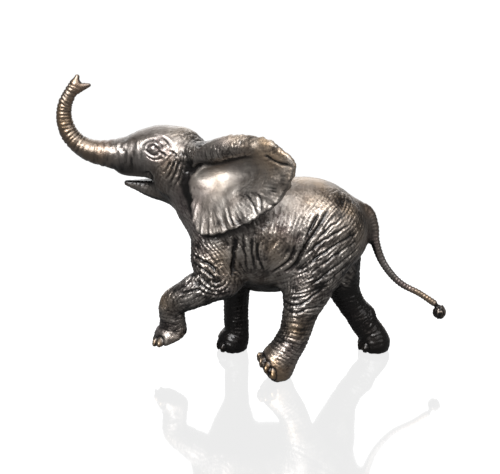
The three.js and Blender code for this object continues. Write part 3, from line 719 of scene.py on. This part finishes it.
crease_depth = np.maximum(crease_depth, ROOT_CREASES * smooth_step(0.5, 0.9, on_root.belongs))

CELL = 3.0  # the vertices are sorted into cells of this size, to find neighbours quickly
cell_of = np.floor((positions - ROOM[0]) / CELL).astype(int)
cells_across = np.ceil((ROOM[1] - ROOM[0]) / CELL).astype(int) + 1
cell_id = (cell_of[:, 0] * cells_across[1] + cell_of[:, 1]) * cells_across[2] + cell_of[:, 2]
by_cell = np.argsort(cell_id, kind="stable")
cell_starts = np.searchsorted(cell_id[by_cell], np.arange(np.prod(cells_across) + 1))


def vertices_round(p, reach):
    """Vertices in the cells within reach of a point."""
    low = np.maximum(np.floor((p - reach - ROOM[0]) / CELL).astype(int), 0)
    high = np.minimum(np.floor((p + reach - ROOM[0]) / CELL).astype(int), cells_across - 1)
    runs = []
    for i in range(low[0], high[0] + 1):
        for j in range(low[1], high[1] + 1):
            row = (i * cells_across[1] + j) * cells_across[2]
            runs.append(by_cell[cell_starts[row + low[2]]:cell_starts[row + high[2] + 1]])
    return np.concatenate(runs)


CREASES = [  # depth, spacing, length, and turn from the lie of the hide
    (0.36, 1.75, 4.2, 0.0),
    (0.36, 1.15, 2.8, 0.12),
    (0.22, 1.4, 2.0, 1.25),
]
TRAIN = {"width": 1.7, "reach": 1.8, "crowding": 1.4, "wobble": 0.12}  # the wave trains of the creases
SHALLOWEST = 0.05  # no wave train is laid where the creases are shallower than this


def creases(spacing, length, turn, seed):
    """Wandering grooves about a spacing apart that follow the lie of the hide, from -1 (deep) to 0.

    Short wave trains are laid at random places on the skin, and the grooves run where their sum is zero.
    """
    rng = np.random.default_rng(seed)
    wide = TRAIN["width"] * spacing
    reach = TRAIN["reach"] * max(wide, length)
    trains = int(TRAIN["crowding"] * len(positions) * fine_step ** 2 / (wide * length))
    spots = rng.choice(len(positions), trains)
    wave = np.zeros(len(positions))
    power = np.full(len(positions), 0.02)
    for spot in spots:
        if crease_depth[spot] < SHALLOWEST:
            continue
        near = vertices_round(positions[spot], reach)
        rel = positions[near] - positions[spot]
        tilt = turn + rng.normal(0, TRAIN["wobble"])
        side = np.cross(normals[spot], lie[spot])
        down = np.cos(tilt) * lie[spot] + np.sin(tilt) * side
        across = rel @ np.cross(normals[spot], down)
        along = rel @ down
        fade = np.exp(-(across / wide) ** 2 - (along / length) ** 2) * (normals[near] @ normals[spot] > 0.2)
        tightness, phase = rng.uniform(0.8, 1.25), rng.uniform(0, 2 * np.pi)
        wave[near] += fade * np.cos(np.pi * across / spacing * tightness + phase)
        power[near] += fade * fade
    height = np.abs(wave) / np.sqrt(power)
    return np.minimum(height, 1.0) ** 0.7 - 1


relief = np.zeros(len(positions))
for seed, (depth, spacing, length, turn) in enumerate(CREASES, 1):
    relief += depth * creases(spacing, length, turn, seed)
relief *= crease_depth * (0.95 + 0.35 * soft_noise(positions, 5.0, 7))

# Folds pressed in one by one: width, depth, and the line over the flank as x, z. Those of the body and
# head are cut on both sides, those of the legs on the left, where the limbs are bent most.
BODY_FOLDS = [
    (0.6, 0.7, [(29.5, 67), (26, 62), (22.4, 56.6), (19.8, 52), (17, 46.5), (12.6, 42.6)]),
    (0.6, 0.6, [(25.4, 65.4), (22.6, 60), (20.8, 56)]),
    (0.6, 0.6, [(17, 54), (15.4, 49), (12.6, 46), (8, 43)]),
    (0.7, 0.8, [(-5.8, 57), (-6.2, 50), (-7, 42)]),
    (0.5, 0.45, [(-3, 58), (-2.2, 50), (-1.4, 43.6)]),
    (0.5, 0.45, [(0.2, 57.4), (0.5, 50), (1.8, 44)]),
    (0.5, 0.5, [(2.4, 55), (3, 48.6), (5.4, 43.6)]),
    (0.6, 0.8, [(-21.4, 49), (-17, 47.2), (-13, 44.8)]),
    (0.5, 0.6, [(-21.4, 46), (-17, 43.8), (-13.6, 41.4)]),
    (0.35, 0.36, [(-41.4, 90.4), (-38.8, 92), (-36, 92.3), (-33.8, 91), (-32.4, 88.4)]),
    (0.35, 0.45, [(-39.6, 88.7), (-38, 90.4), (-36.2, 90.5), (-34, 88.4)]),
    (0.35, 0.45, [(-39.6, 88.7), (-37.8, 87.4), (-36, 87.2), (-34, 88.4)]),
    (0.35, 0.3, [(-39.2, 86.9), (-37, 85.7), (-34.8, 85.8), (-33, 86.8)]),
    (0.35, 0.5, [(-34.4, 88.5), (-32.6, 87.6), (-31.4, 86.6)]),
    (0.35, 0.4, [(-30.4, 88.8), (-28.6, 87.6), (-28, 86.2)]),
    (0.35, 0.4, [(-33.6, 93.6), (-31, 92.2), (-29.6, 90)]),
    (0.4, 0.55, [(-28.4, 85), (-30, 81.5), (-32.4, 77.6)]),
    (0.4, 0.5, [(-26.8, 84.4), (-28.6, 80.5), (-30.8, 76)]),
    (0.4, 0.45, [(-25.2, 82.6), (-27, 78.6), (-28.8, 75)]),
    (0.35, 0.4, [(-30, 85), (-31.2, 82.8), (-33, 80.6)]),
    (0.45, 0.6, [(-41.2, 79.4), (-38.8, 79.8), (-37.6, 78.2), (-38.2, 76.4), (-39.8, 76)]),
]
LEG_FOLDS = [
    (0.44, 0.43, [(38.6, 61.4), (32, 58.6), (26, 55.2), (21, 50.8)]),
    (0.44, 0.47, [(40.4, 57.6), (34, 55), (28, 51.4), (22, 47.2)]),
    (0.44, 0.4, [(40.6, 54.4), (35, 51.8), (29, 47.8), (23, 43.6)]),
    (0.44, 0.43, [(41, 51), (36, 47.8), (30, 43.8), (24, 39.2)]),
    (0.44, 0.43, [(38.6, 46.4), (33, 42), (27, 37.8), (20.6, 34.4)]),
    (0.4, 0.36, [(34.6, 64), (30, 61), (25.6, 57)]),
    (0.44, 0.58, [(11.6, 31.8), (15, 30.8), (19, 31.4), (24, 34.6), (30, 38.6)]),
    (0.4, 0.36, [(12, 29), (17, 28), (22.6, 30.2)]),
    (0.44, 0.43, [(-22, 37.6), (-17, 35.4), (-12, 34.6), (-7.6, 35.8)]),
    (0.4, 0.43, [(-20, 40), (-17, 37.5), (-13, 36), (-9.4, 37), (-7.4, 40.2)]),
    (0.4, 0.36, [(-17.4, 40), (-13.6, 37.9), (-10.4, 38.7), (-8.8, 41.4)]),
    (0.35, 0.32, [(-15.4, 41.4), (-13, 39.8), (-10.8, 41.2)]),
    (0.4, 0.36, [(-27.6, 37), (-24.2, 38.6), (-22.4, 41.8)]),
    (0.44, 0.5, [(-27, 34.8), (-23, 36.2), (-18.6, 37)]),
]
EAR_FOLDS = [
    (0.9, 1.6, [(-23, 80), (-19.4, 84), (-15, 86.1), (-11, 87.3), (-5, 88.7)]),
    (0.5, 0.5, [(4.6, 90.6), (9, 88.6), (14.6, 87.6)]),
    (0.5, 0.45, [(2.2, 76.4), (3.6, 73.6), (3.4, 70.6)]),
    (0.4, 0.35, [(-2, 75.4), (0.6, 73), (1.8, 69.6)]),
    (0.5, 0.45, [(-8.6, 70), (-7.6, 66.6), (-6.4, 64.2)]),
]
FOLD_SWAY = 0.3
FOLD_LIP = {"height": 0.3, "away": 2.1}  # the raised sides, as shares of a fold's depth and width


def pressed(folds, where):
    """Depth of the folds at each vertex, with the hide pushed up a little along both sides of each."""
    total = np.zeros(len(positions))
    sway = [soft_noise(positions, 2.6, seed) for seed in (11, 12)]
    flat = positions[:, [0, 2]] + FOLD_SWAY * np.stack(sway, 1)
    for width, depth, line in folds:
        path = smooth_curve(line)
        low, high = path.min(0) - 4 * width, path.max(0) + 4 * width
        near = np.flatnonzero((where > 0) & ((flat > low) & (flat < high)).all(1))
        away = np.full(len(near), np.inf)
        share = np.zeros(len(near))
        for i, (a, b) in enumerate(zip(path, path[1:])):
            step = b - a
            t = np.clip((flat[near] - a) @ step / (step @ step), 0, 1)
            gap = np.linalg.norm(flat[near] - a - t[:, None] * step, axis=1)
            share = np.where(gap < away, (i + t) / (len(path) - 1), share)
            away = np.minimum(away, gap)
        away = away / width
        ends = np.sqrt(np.clip(5 * share * (1 - share), 0, 1))
        groove = np.exp(-away ** 2) - FOLD_LIP["height"] * np.exp(-(away - FOLD_LIP["away"]) ** 2)
        total[near] += depth * ends * groove * where[near]
    return total


facing_left = smooth_step(0.1, 0.5, -normals[:, 1]) * (positions[:, 1] < -2)
facing_right = smooth_step(0.1, 0.5, normals[:, 1]) * (positions[:, 1] > 2)
off_ears = 1 - smooth_step(0.3, 0.8, ear_share)
left_legs = np.maximum(limbs["left_hind"].belongs, limbs["left_fore"].belongs)
left_side = smooth_step(0.2, 0.6, np.maximum(on_body, left_legs))
EAR_LUMPS = 0.3
relief += EAR_LUMPS * soft_noise(positions, 3.6, 9) * (1 - off_ears)
relief -= pressed(BODY_FOLDS, (facing_left + facing_right) * off_ears)
relief -= pressed(LEG_FOLDS, facing_left * off_ears * left_side)
relief -= pressed(EAR_FOLDS, facing_left * smooth_step(0.3, 0.8, ear_share))

# A cut line runs round each nail, and the hair at the tail's end is combed into locks.
NAIL_CUT = {"depth": 0.5, "away": 0.75, "width": 0.3}
TUFT_LOCKS = {"depth": 1.1, "size": 1.5, "stretch": [1, 1.6, 0.6]}
nail_face = np.zeros(len(positions))
for leg in LEGS.values():
    for nail in nail_centres(leg["sole"], leg["side"]):
        near = np.linalg.norm(positions - nail, axis=1) < 5
        gap = ellipsoid(nail, NAIL["radii"])(positions[near])
        nail_face[near] = np.maximum(nail_face[near], smooth_step(0.45, 0.1, gap))
        relief[near] -= NAIL_CUT["depth"] * np.exp(-((gap - NAIL_CUT["away"]) / NAIL_CUT["width"]) ** 2)
on_tuft = smooth_step(0.4, 0.9, lies_on(tuft(positions)))
locks = np.abs(soft_noise(positions * TUFT_LOCKS["stretch"], TUFT_LOCKS["size"], 8)) ** 0.6
relief -= on_tuft * (TUFT_LOCKS["depth"] * locks)

# Rings: even ridges round the trunk and the tail, with narrow grooves between them.
RINGS = [  # form, spacing at its root and tip, depth at its root and tip, waviness
    (on_trunk, 1.65, 1.3, 0.5, 0.4, 0.5),
    (on_tail, 1.5, 1.3, 0.26, 0.34, 0.25),
]
for limb, wide, narrow, shallow, deep, wavy in RINGS:
    whole = limb.along.max()
    turns = limb.along / (wide + (narrow - wide) * limb.along / (2 * whole))
    turns = turns + wavy * soft_noise(positions, 3.0, 5)
    groove = 1 - np.abs(np.sin(np.pi * turns)) ** 1.1
    patchy = 0.75 + 0.35 * soft_noise(positions, 4.0, 6)
    depth = shallow + (deep - shallow) * limb.along / whole
    relief -= groove * patchy * depth * smooth_step(0.35, 0.8, limb.belongs) * (1 - ear_share)

positions += normals * relief[:, None]

# ---------------------------------------------------------------------------------------------------
# The calf itself: one bronze casting of the finished wax, hollow inside and poured in one piece. It is
# chased smooth where the sprues were cut off, and stands on its two right soles and its left hind heel.
# ---------------------------------------------------------------------------------------------------

MOST_TRIANGLES = 196000

centre = (np.array(cad_box[0]) + np.array(cad_box[1])) * 500
middle = (positions.min(0) + positions.max(0)) / 2
placed = positions + [centre[0] - middle[0], centre[1] - middle[1], 0]
placed = np.clip(placed / 1000, np.array(cad_box[0]), np.array(cad_box[1]))

bronze_skin = bpy.data.meshes.new("elephant_bronze")
bronze_skin.vertices.add(len(placed))
bronze_skin.vertices.foreach_set("co", placed.astype(np.float32).ravel())
bronze_skin.loops.add(quads.size)
bronze_skin.loops.foreach_set("vertex_index", quads.ravel().astype(np.int32))
bronze_skin.polygons.add(len(quads))
bronze_skin.polygons.foreach_set("loop_start", np.arange(0, quads.size, 4, dtype=np.int32))
bronze_skin.update(calc_edges=True)
bronze_skin.validate()
elephant = bpy.data.objects.new("elephant_bronze", bronze_skin)
bpy.context.scene.collection.objects.link(elephant)


def skin_map(name, numbers):
    """Stores one number or vector for each vertex, for the patina to read."""
    kind = "FLOAT" if numbers.ndim == 1 else "FLOAT_VECTOR"
    layer = bronze_skin.attributes.new(name, kind, "POINT")
    layer.data.foreach_set("value" if numbers.ndim == 1 else "vector", numbers.astype(np.float32).ravel())


FEELERS = 1.5, 3.0, 6.0, 12.0, 20.0  # distances from the skin at which free room is felt for
open_air = np.zeros(len(positions))
for distance in FEELERS:
    open_air += np.clip(grid_value(positions + normals * distance) / distance, 0, 1) / len(FEELERS)

# Painted shade: the inner sides of the legs, the belly, the throat and the neck behind the ears are darkened
# towards black where shade falls on them. It fades in between the first and the second of each pair.
MIDDLE_GAP = 1, 5  # distance from the middle plane
LEG_HEIGHTS, THROAT_HEIGHTS, NECK_HEIGHTS = (44, 34), (82, 70), (90, 84)
EAR_GAP = 7, 2
SHADE_SHARE = 0.6
shade_between_legs = smooth_step(*MIDDLE_GAP, np.abs(positions[:, 1])) * smooth_step(*LEG_HEIGHTS, positions[:, 2])
shade_between_legs *= smooth_step(-0.1, 0.5, -normals[:, 1] * np.sign(positions[:, 1]))
shade_underside = smooth_step(0.25, 0.8, -normals[:, 2]) * smooth_step(*THROAT_HEIGHTS, positions[:, 2])
shade_behind_ear = smooth_step(*EAR_GAP, np.minimum(*[field(positions) for field in ears.values()])) * off_ears
shade_behind_ear = shade_behind_ear * smooth_step(*NECK_HEIGHTS, positions[:, 2])
shade_mask = np.maximum(np.maximum(shade_between_legs, shade_underside), shade_behind_ear)
# Painted shade: the hollows that little open air reaches, and the shaded places above, go towards black.
skin_map("shelter", np.maximum(1 - open_air, SHADE_SHARE * shade_mask))
# The grooves of the creases go black: partly patina held in them, partly painted shade.
skin_map("groove", smooth_step(0.1, 0.58, -relief))
# Painted highlight: the crests between the grooves, later painted silver in the patina.
height_share = relief / (crease_depth + 0.15)
skin_map("crest", smooth_step(-0.42, -0.08, height_share) * np.clip(crease_depth * 1.6, 0, 1))
skin_map("net", crease_depth)
skin_map("ear", smooth_step(0.3, 0.9, ear_share))

# Where hands and a cloth have rubbed the patina back to warm metal: x, z, reach and strength.
RUBBED = [
    [-71, 101, 8, 0.75], [-66, 92, 7, 0.6], [-58, 85, 7, 0.3], [-66, 112, 5, 0.5], [-22, 97, 5, 0.35],
    [-31, 83, 4.5, 0.5], [-26, 78, 6, 0.3], [-13, 80, 6, 0.45], [8, 93, 9, 0.6], [17, 88, 6, 0.5],
    [21, 82, 5, 0.5], [5, 96, 8, 0.7], [12, 92, 6, 0.7], [-4, 97, 6, 0.5], [20, 79, 9, 0.3],
    [-12, 48, 8, 0.4], [9, 53, 7, 0.5], [-8, 43, 5, 0.3], [-35, 31, 4.5, 0.8],
    [-29, 15, 4, 0.35], [18, 22, 4.5, 0.8], [7, 8, 7, 0.85], [12, 3, 5, 0.6], [37, 64, 8, 0.35],
    [43, 55, 8, 0.25], [70, 28, 6, 0.8], [76, 24, 4, 0.5], [52, 8, 6, 0.6], [46, 18, 5, 0.35],
    [27, 78, 11, 0.55], [38, 69, 8, 0.45], [-27, 97, 5, 0.3],
]
rub = np.zeros(len(positions))
for x, z, reach, strength in RUBBED:
    spot = strength * np.exp(-((positions[:, 0] - x) ** 2 + (positions[:, 2] - z) ** 2) / reach ** 2)
    rub = rub + spot * (1 - rub)
skin_map("rub", np.maximum(rub * 0.8 * smooth_step(0.35, 0.9, open_air), nail_face))

thin = elephant.modifiers.new("thin", "DECIMATE")
thin.ratio = MOST_TRIANGLES / (2 * len(quads))
bpy.context.view_layer.objects.active = elephant
elephant.select_set(True)
bpy.ops.object.modifier_apply(modifier="thin")
bronze_skin.shade_smooth()

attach(elephant, "root")
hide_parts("elephant")

# Patina: dark brown salts burnt into the bronze with a torch, waxed, and rubbed back to bare warm metal
# where hands and a cloth reach. Black is painted into the creases, partly patina held there and partly
# painted shade, and painted shade lies where the casting shelters itself; a painted silver highlight lies on
# the crests and the ears.
patina = bpy.data.materials.new("bronze_patina")
patina.use_nodes = True
tree = patina.node_tree
shader = tree.nodes["Principled BSDF"]

BARE = (0.44, 0.29, 0.155, 1)
BROWN = (0.14, 0.113, 0.096, 1)
GREY_BROWN = (0.225, 0.202, 0.188, 1)
MAUVE = (0.2, 0.14, 0.145, 1)
# Silver of the painted highlights on the crests and the ears.
HIGHLIGHT_SILVER = (0.5, 0.47, 0.43, 1)
# Black of the patina in the grooves and of the painted shade.
PATINA_AND_SHADE_BLACK = (0.007, 0.006, 0.006, 1)


def wired(kind, inputs, **settings):
    """A new node with its settings, its inputs given as values or as the sockets that feed them."""
    node = tree.nodes.new(kind)
    for name, value in settings.items():
        setattr(node, name, value)
    for name, value in inputs.items():
        if isinstance(value, bpy.types.NodeSocket):
            tree.links.new(value, node.inputs[name])
        else:
            node.inputs[name].default_value = value
    return node


def skin_value(name):
    return wired("ShaderNodeAttribute", {}, attribute_name=name).outputs["Fac"]


def maths(operation, a, b=0.0, c=0.0):
    return wired("ShaderNodeMath", {0: a, 1: b, 2: c}, operation=operation).outputs[0]


def blended(share, a, b):
    """Colour b over colour a by a share."""
    node = wired("ShaderNodeMix", {"Factor": share}, data_type="RGBA")
    for socket, value in (("A_Color", a), ("B_Color", b)):
        target = next(item for item in node.inputs if item.identifier == socket)
        if isinstance(value, bpy.types.NodeSocket):
            tree.links.new(value, target)
        else:
            target.default_value = value
    return next(item for item in node.outputs if item.identifier == "Result_Color")


def ramp(value, low, high):
    return wired("ShaderNodeMapRange", {"Value": value, "From Min": low, "From Max": high},
                 interpolation_type="SMOOTHSTEP").outputs["Result"]


place = tree.nodes.new("ShaderNodeTexCoord").outputs["Object"]


def speckle(scale, detail=2.0):
    return wired("ShaderNodeTexNoise", {"Vector": place, "Scale": scale, "Detail": detail}).outputs["Fac"]


clouds = ramp(speckle(70.0), 0.35, 0.65)
blotches = ramp(speckle(110.0, 3.0), 0.42, 0.62)
# Painted shade where the casting shelters itself, and black in the grooves that is partly patina and partly
# painted shade.
shade_in_shelter = ramp(skin_value("shelter"), 0.24, 0.56)
groove_patina_and_shade = skin_value("groove")
dark = maths("MAXIMUM", groove_patina_and_shade, shade_in_shelter)
rubbed = maths("MULTIPLY", skin_value("rub"), maths("MULTIPLY_ADD", blotches, 0.5, 0.5))
# Painted highlight: silver on the crests of the creases and across the ears.
painted_highlight = maths("MULTIPLY", skin_value("crest"), maths("MULTIPLY_ADD", blotches, 0.35, 0.3))
painted_ear_highlight = maths("MULTIPLY", skin_value("ear"), maths("MULTIPLY_ADD", clouds, 0.3, 0.22))
painted_highlight = maths("MAXIMUM", painted_highlight, painted_ear_highlight)
colour = blended(clouds, BROWN, GREY_BROWN)
colour = blended(maths("MULTIPLY", ramp(speckle(55.0), 0.5, 0.7), 0.5), colour, MAUVE)
colour = blended(painted_highlight, colour, HIGHLIGHT_SILVER)
colour = blended(rubbed, colour, BARE)
colour = blended(maths("MULTIPLY", dark, 0.97), colour, PATINA_AND_SHADE_BLACK)
tree.links.new(colour, shader.inputs["Base Color"])
shader.inputs["Metallic"].default_value = 1.0
roughness = maths("MULTIPLY_ADD", speckle(260.0), 0.16, 0.3)
roughness = maths("MULTIPLY_ADD", dark, 0.12, roughness)
roughness = maths("MULTIPLY_ADD", skin_value("ear"), 0.14, roughness)
tree.links.new(roughness, shader.inputs["Roughness"])
shader.inputs["Coat Weight"].default_value = 0.5
shader.inputs["Coat Roughness"].default_value = 0.22
shader.inputs["Coat IOR"].default_value = 1.6

# The finest net of the hide, a chisel's grain and the sand of the mould.
wrinkles = wired("ShaderNodeTexNoise", {"Vector": place, "Scale": 620.0, "Detail": 1.0, "Roughness": 0.6},
                 noise_type="RIDGED_MULTIFRACTAL").outputs["Fac"]
fine = maths("MULTIPLY", wrinkles, maths("MULTIPLY_ADD", skin_value("net"), 0.7, 0.08))
grain = maths("MULTIPLY", speckle(2200.0), 0.2)
bump = wired("ShaderNodeBump", {"Height": maths("ADD", fine, grain), "Strength": 1.0, "Distance": 0.00035})
tree.links.new(bump.outputs["Normal"], shader.inputs["Normal"])
bronze_skin.materials.append(patina)

# ---------------------------------------------------------------------------------------------------
# Studio: the calf stands on a glossy white floor in a white room. One broad soft lamp hangs high in front,
# a little towards the head, and weaker ones light the top, the tail's side and the back. A lit white sheet
# hung behind the calf is mirrored in the bronze as a bright edge.
# ---------------------------------------------------------------------------------------------------

FLOOR_HALF = 1.5
ROOM_WHITE = 1.1  # how bright the camera sees the floor and the room

floor_mesh = bpy.data.meshes.new("floor")
floor_corners = [(FLOOR_HALF * x, FLOOR_HALF * y, 0) for x, y in ((-1, -1), (1, -1), (1, 1), (-1, 1))]
floor_mesh.from_pydata(floor_corners, [], [(0, 1, 2, 3)])
floor = bpy.data.objects.new("floor", floor_mesh)
bpy.context.scene.collection.objects.link(floor)
floor_paint = bpy.data.materials.new("floor_paint")
floor_paint.use_nodes = True
paint = floor_paint.node_tree
paint.nodes.remove(paint.nodes["Principled BSDF"])
glow = paint.nodes.new("ShaderNodeEmission")
glow.inputs["Strength"].default_value = ROOM_WHITE
gloss = paint.nodes.new("ShaderNodeBsdfGlossy")
gloss.inputs["Roughness"].default_value = 0.06
dull = paint.nodes.new("ShaderNodeBsdfDiffuse")
dull.inputs["Color"].default_value = (0.12, 0.12, 0.12, 1)
shiny = paint.nodes.new("ShaderNodeMixShader")
shiny.inputs["Fac"].default_value = 0.24
paint.links.new(glow.outputs[0], shiny.inputs[1])
paint.links.new(gloss.outputs[0], shiny.inputs[2])
floor_look = paint.nodes.new("ShaderNodeMixShader")
paint.links.new(paint.nodes.new("ShaderNodeLightPath").outputs["Is Camera Ray"], floor_look.inputs["Fac"])
paint.links.new(dull.outputs[0], floor_look.inputs[1])
paint.links.new(shiny.outputs[0], floor_look.inputs[2])
paint.links.new(floor_look.outputs[0], paint.nodes["Material Output"].inputs["Surface"])
floor_mesh.materials.append(floor_paint)

studio = bpy.data.worlds.new("studio")
studio.use_nodes = True
air = studio.node_tree.nodes["Background"]
air.inputs["Color"].default_value = (1, 1, 1, 1)
heading = studio.node_tree.nodes.new("ShaderNodeTexCoord").outputs["Generated"]
split = studio.node_tree.nodes.new("ShaderNodeSeparateXYZ")
studio.node_tree.links.new(heading, split.inputs[0])
backdrop = studio.node_tree.nodes.new("ShaderNodeMapRange")
backdrop.inputs["From Min"].default_value = 0.72
backdrop.inputs["From Max"].default_value = 0.9
backdrop.inputs["To Min"].default_value = 0.17
backdrop.inputs["To Max"].default_value = 1.0
studio.node_tree.links.new(split.outputs["Y"], backdrop.inputs["Value"])
seen = studio.node_tree.nodes.new("ShaderNodeLightPath").outputs["Is Camera Ray"]
strength = studio.node_tree.nodes.new("ShaderNodeMapRange")
strength.inputs["To Max"].default_value = ROOM_WHITE
studio.node_tree.links.new(backdrop.outputs["Result"], strength.inputs["To Min"])
studio.node_tree.links.new(seen, strength.inputs["Value"])
studio.node_tree.links.new(strength.outputs["Result"], air.inputs["Strength"])
bpy.context.scene.world = studio
bpy.context.scene.view_settings.view_transform = "Standard"


def soft_sun(name, azimuth, elevation, strength, spread):
    """A far lamp, spread degrees broad. Azimuth 0 is the front and 90 is where the head points."""
    lamp = bpy.data.lights.new(name, "SUN")
    lamp.energy = strength
    lamp.angle = np.radians(spread)
    holder = bpy.data.objects.new(name, lamp)
    a, e = np.radians(azimuth), np.radians(elevation)
    towards = Vector((-np.sin(a) * np.cos(e), -np.cos(a) * np.cos(e), np.sin(e)))
    holder.rotation_euler = towards.to_track_quat("Z", "Y").to_euler()
    bpy.context.scene.collection.objects.link(holder)


LAMPS = [  # name, azimuth, elevation, strength and spread
    ("key", 22, 38, 4.2, 42),
    ("top", -14, 62, 1.6, 60),
    ("right", -46, 30, 0.6, 50),
    ("back", 170, 42, 1.0, 60),
]
for lamp in LAMPS:
    soft_sun(*lamp)

CAMERA_AT = -0.0026, -0.3459, 0.150
CAMERA_DIP = 15.6  # degrees below the horizon

camera_data = bpy.data.cameras.new("camera")
camera_data.lens = 65.9
camera_data.sensor_width = 36
camera = bpy.data.objects.new("camera", camera_data)
camera.location = CAMERA_AT
camera.rotation_euler = Euler((np.radians(90 - CAMERA_DIP), 0, 0))
bpy.context.scene.collection.objects.link(camera)
bpy.context.scene.camera = camera
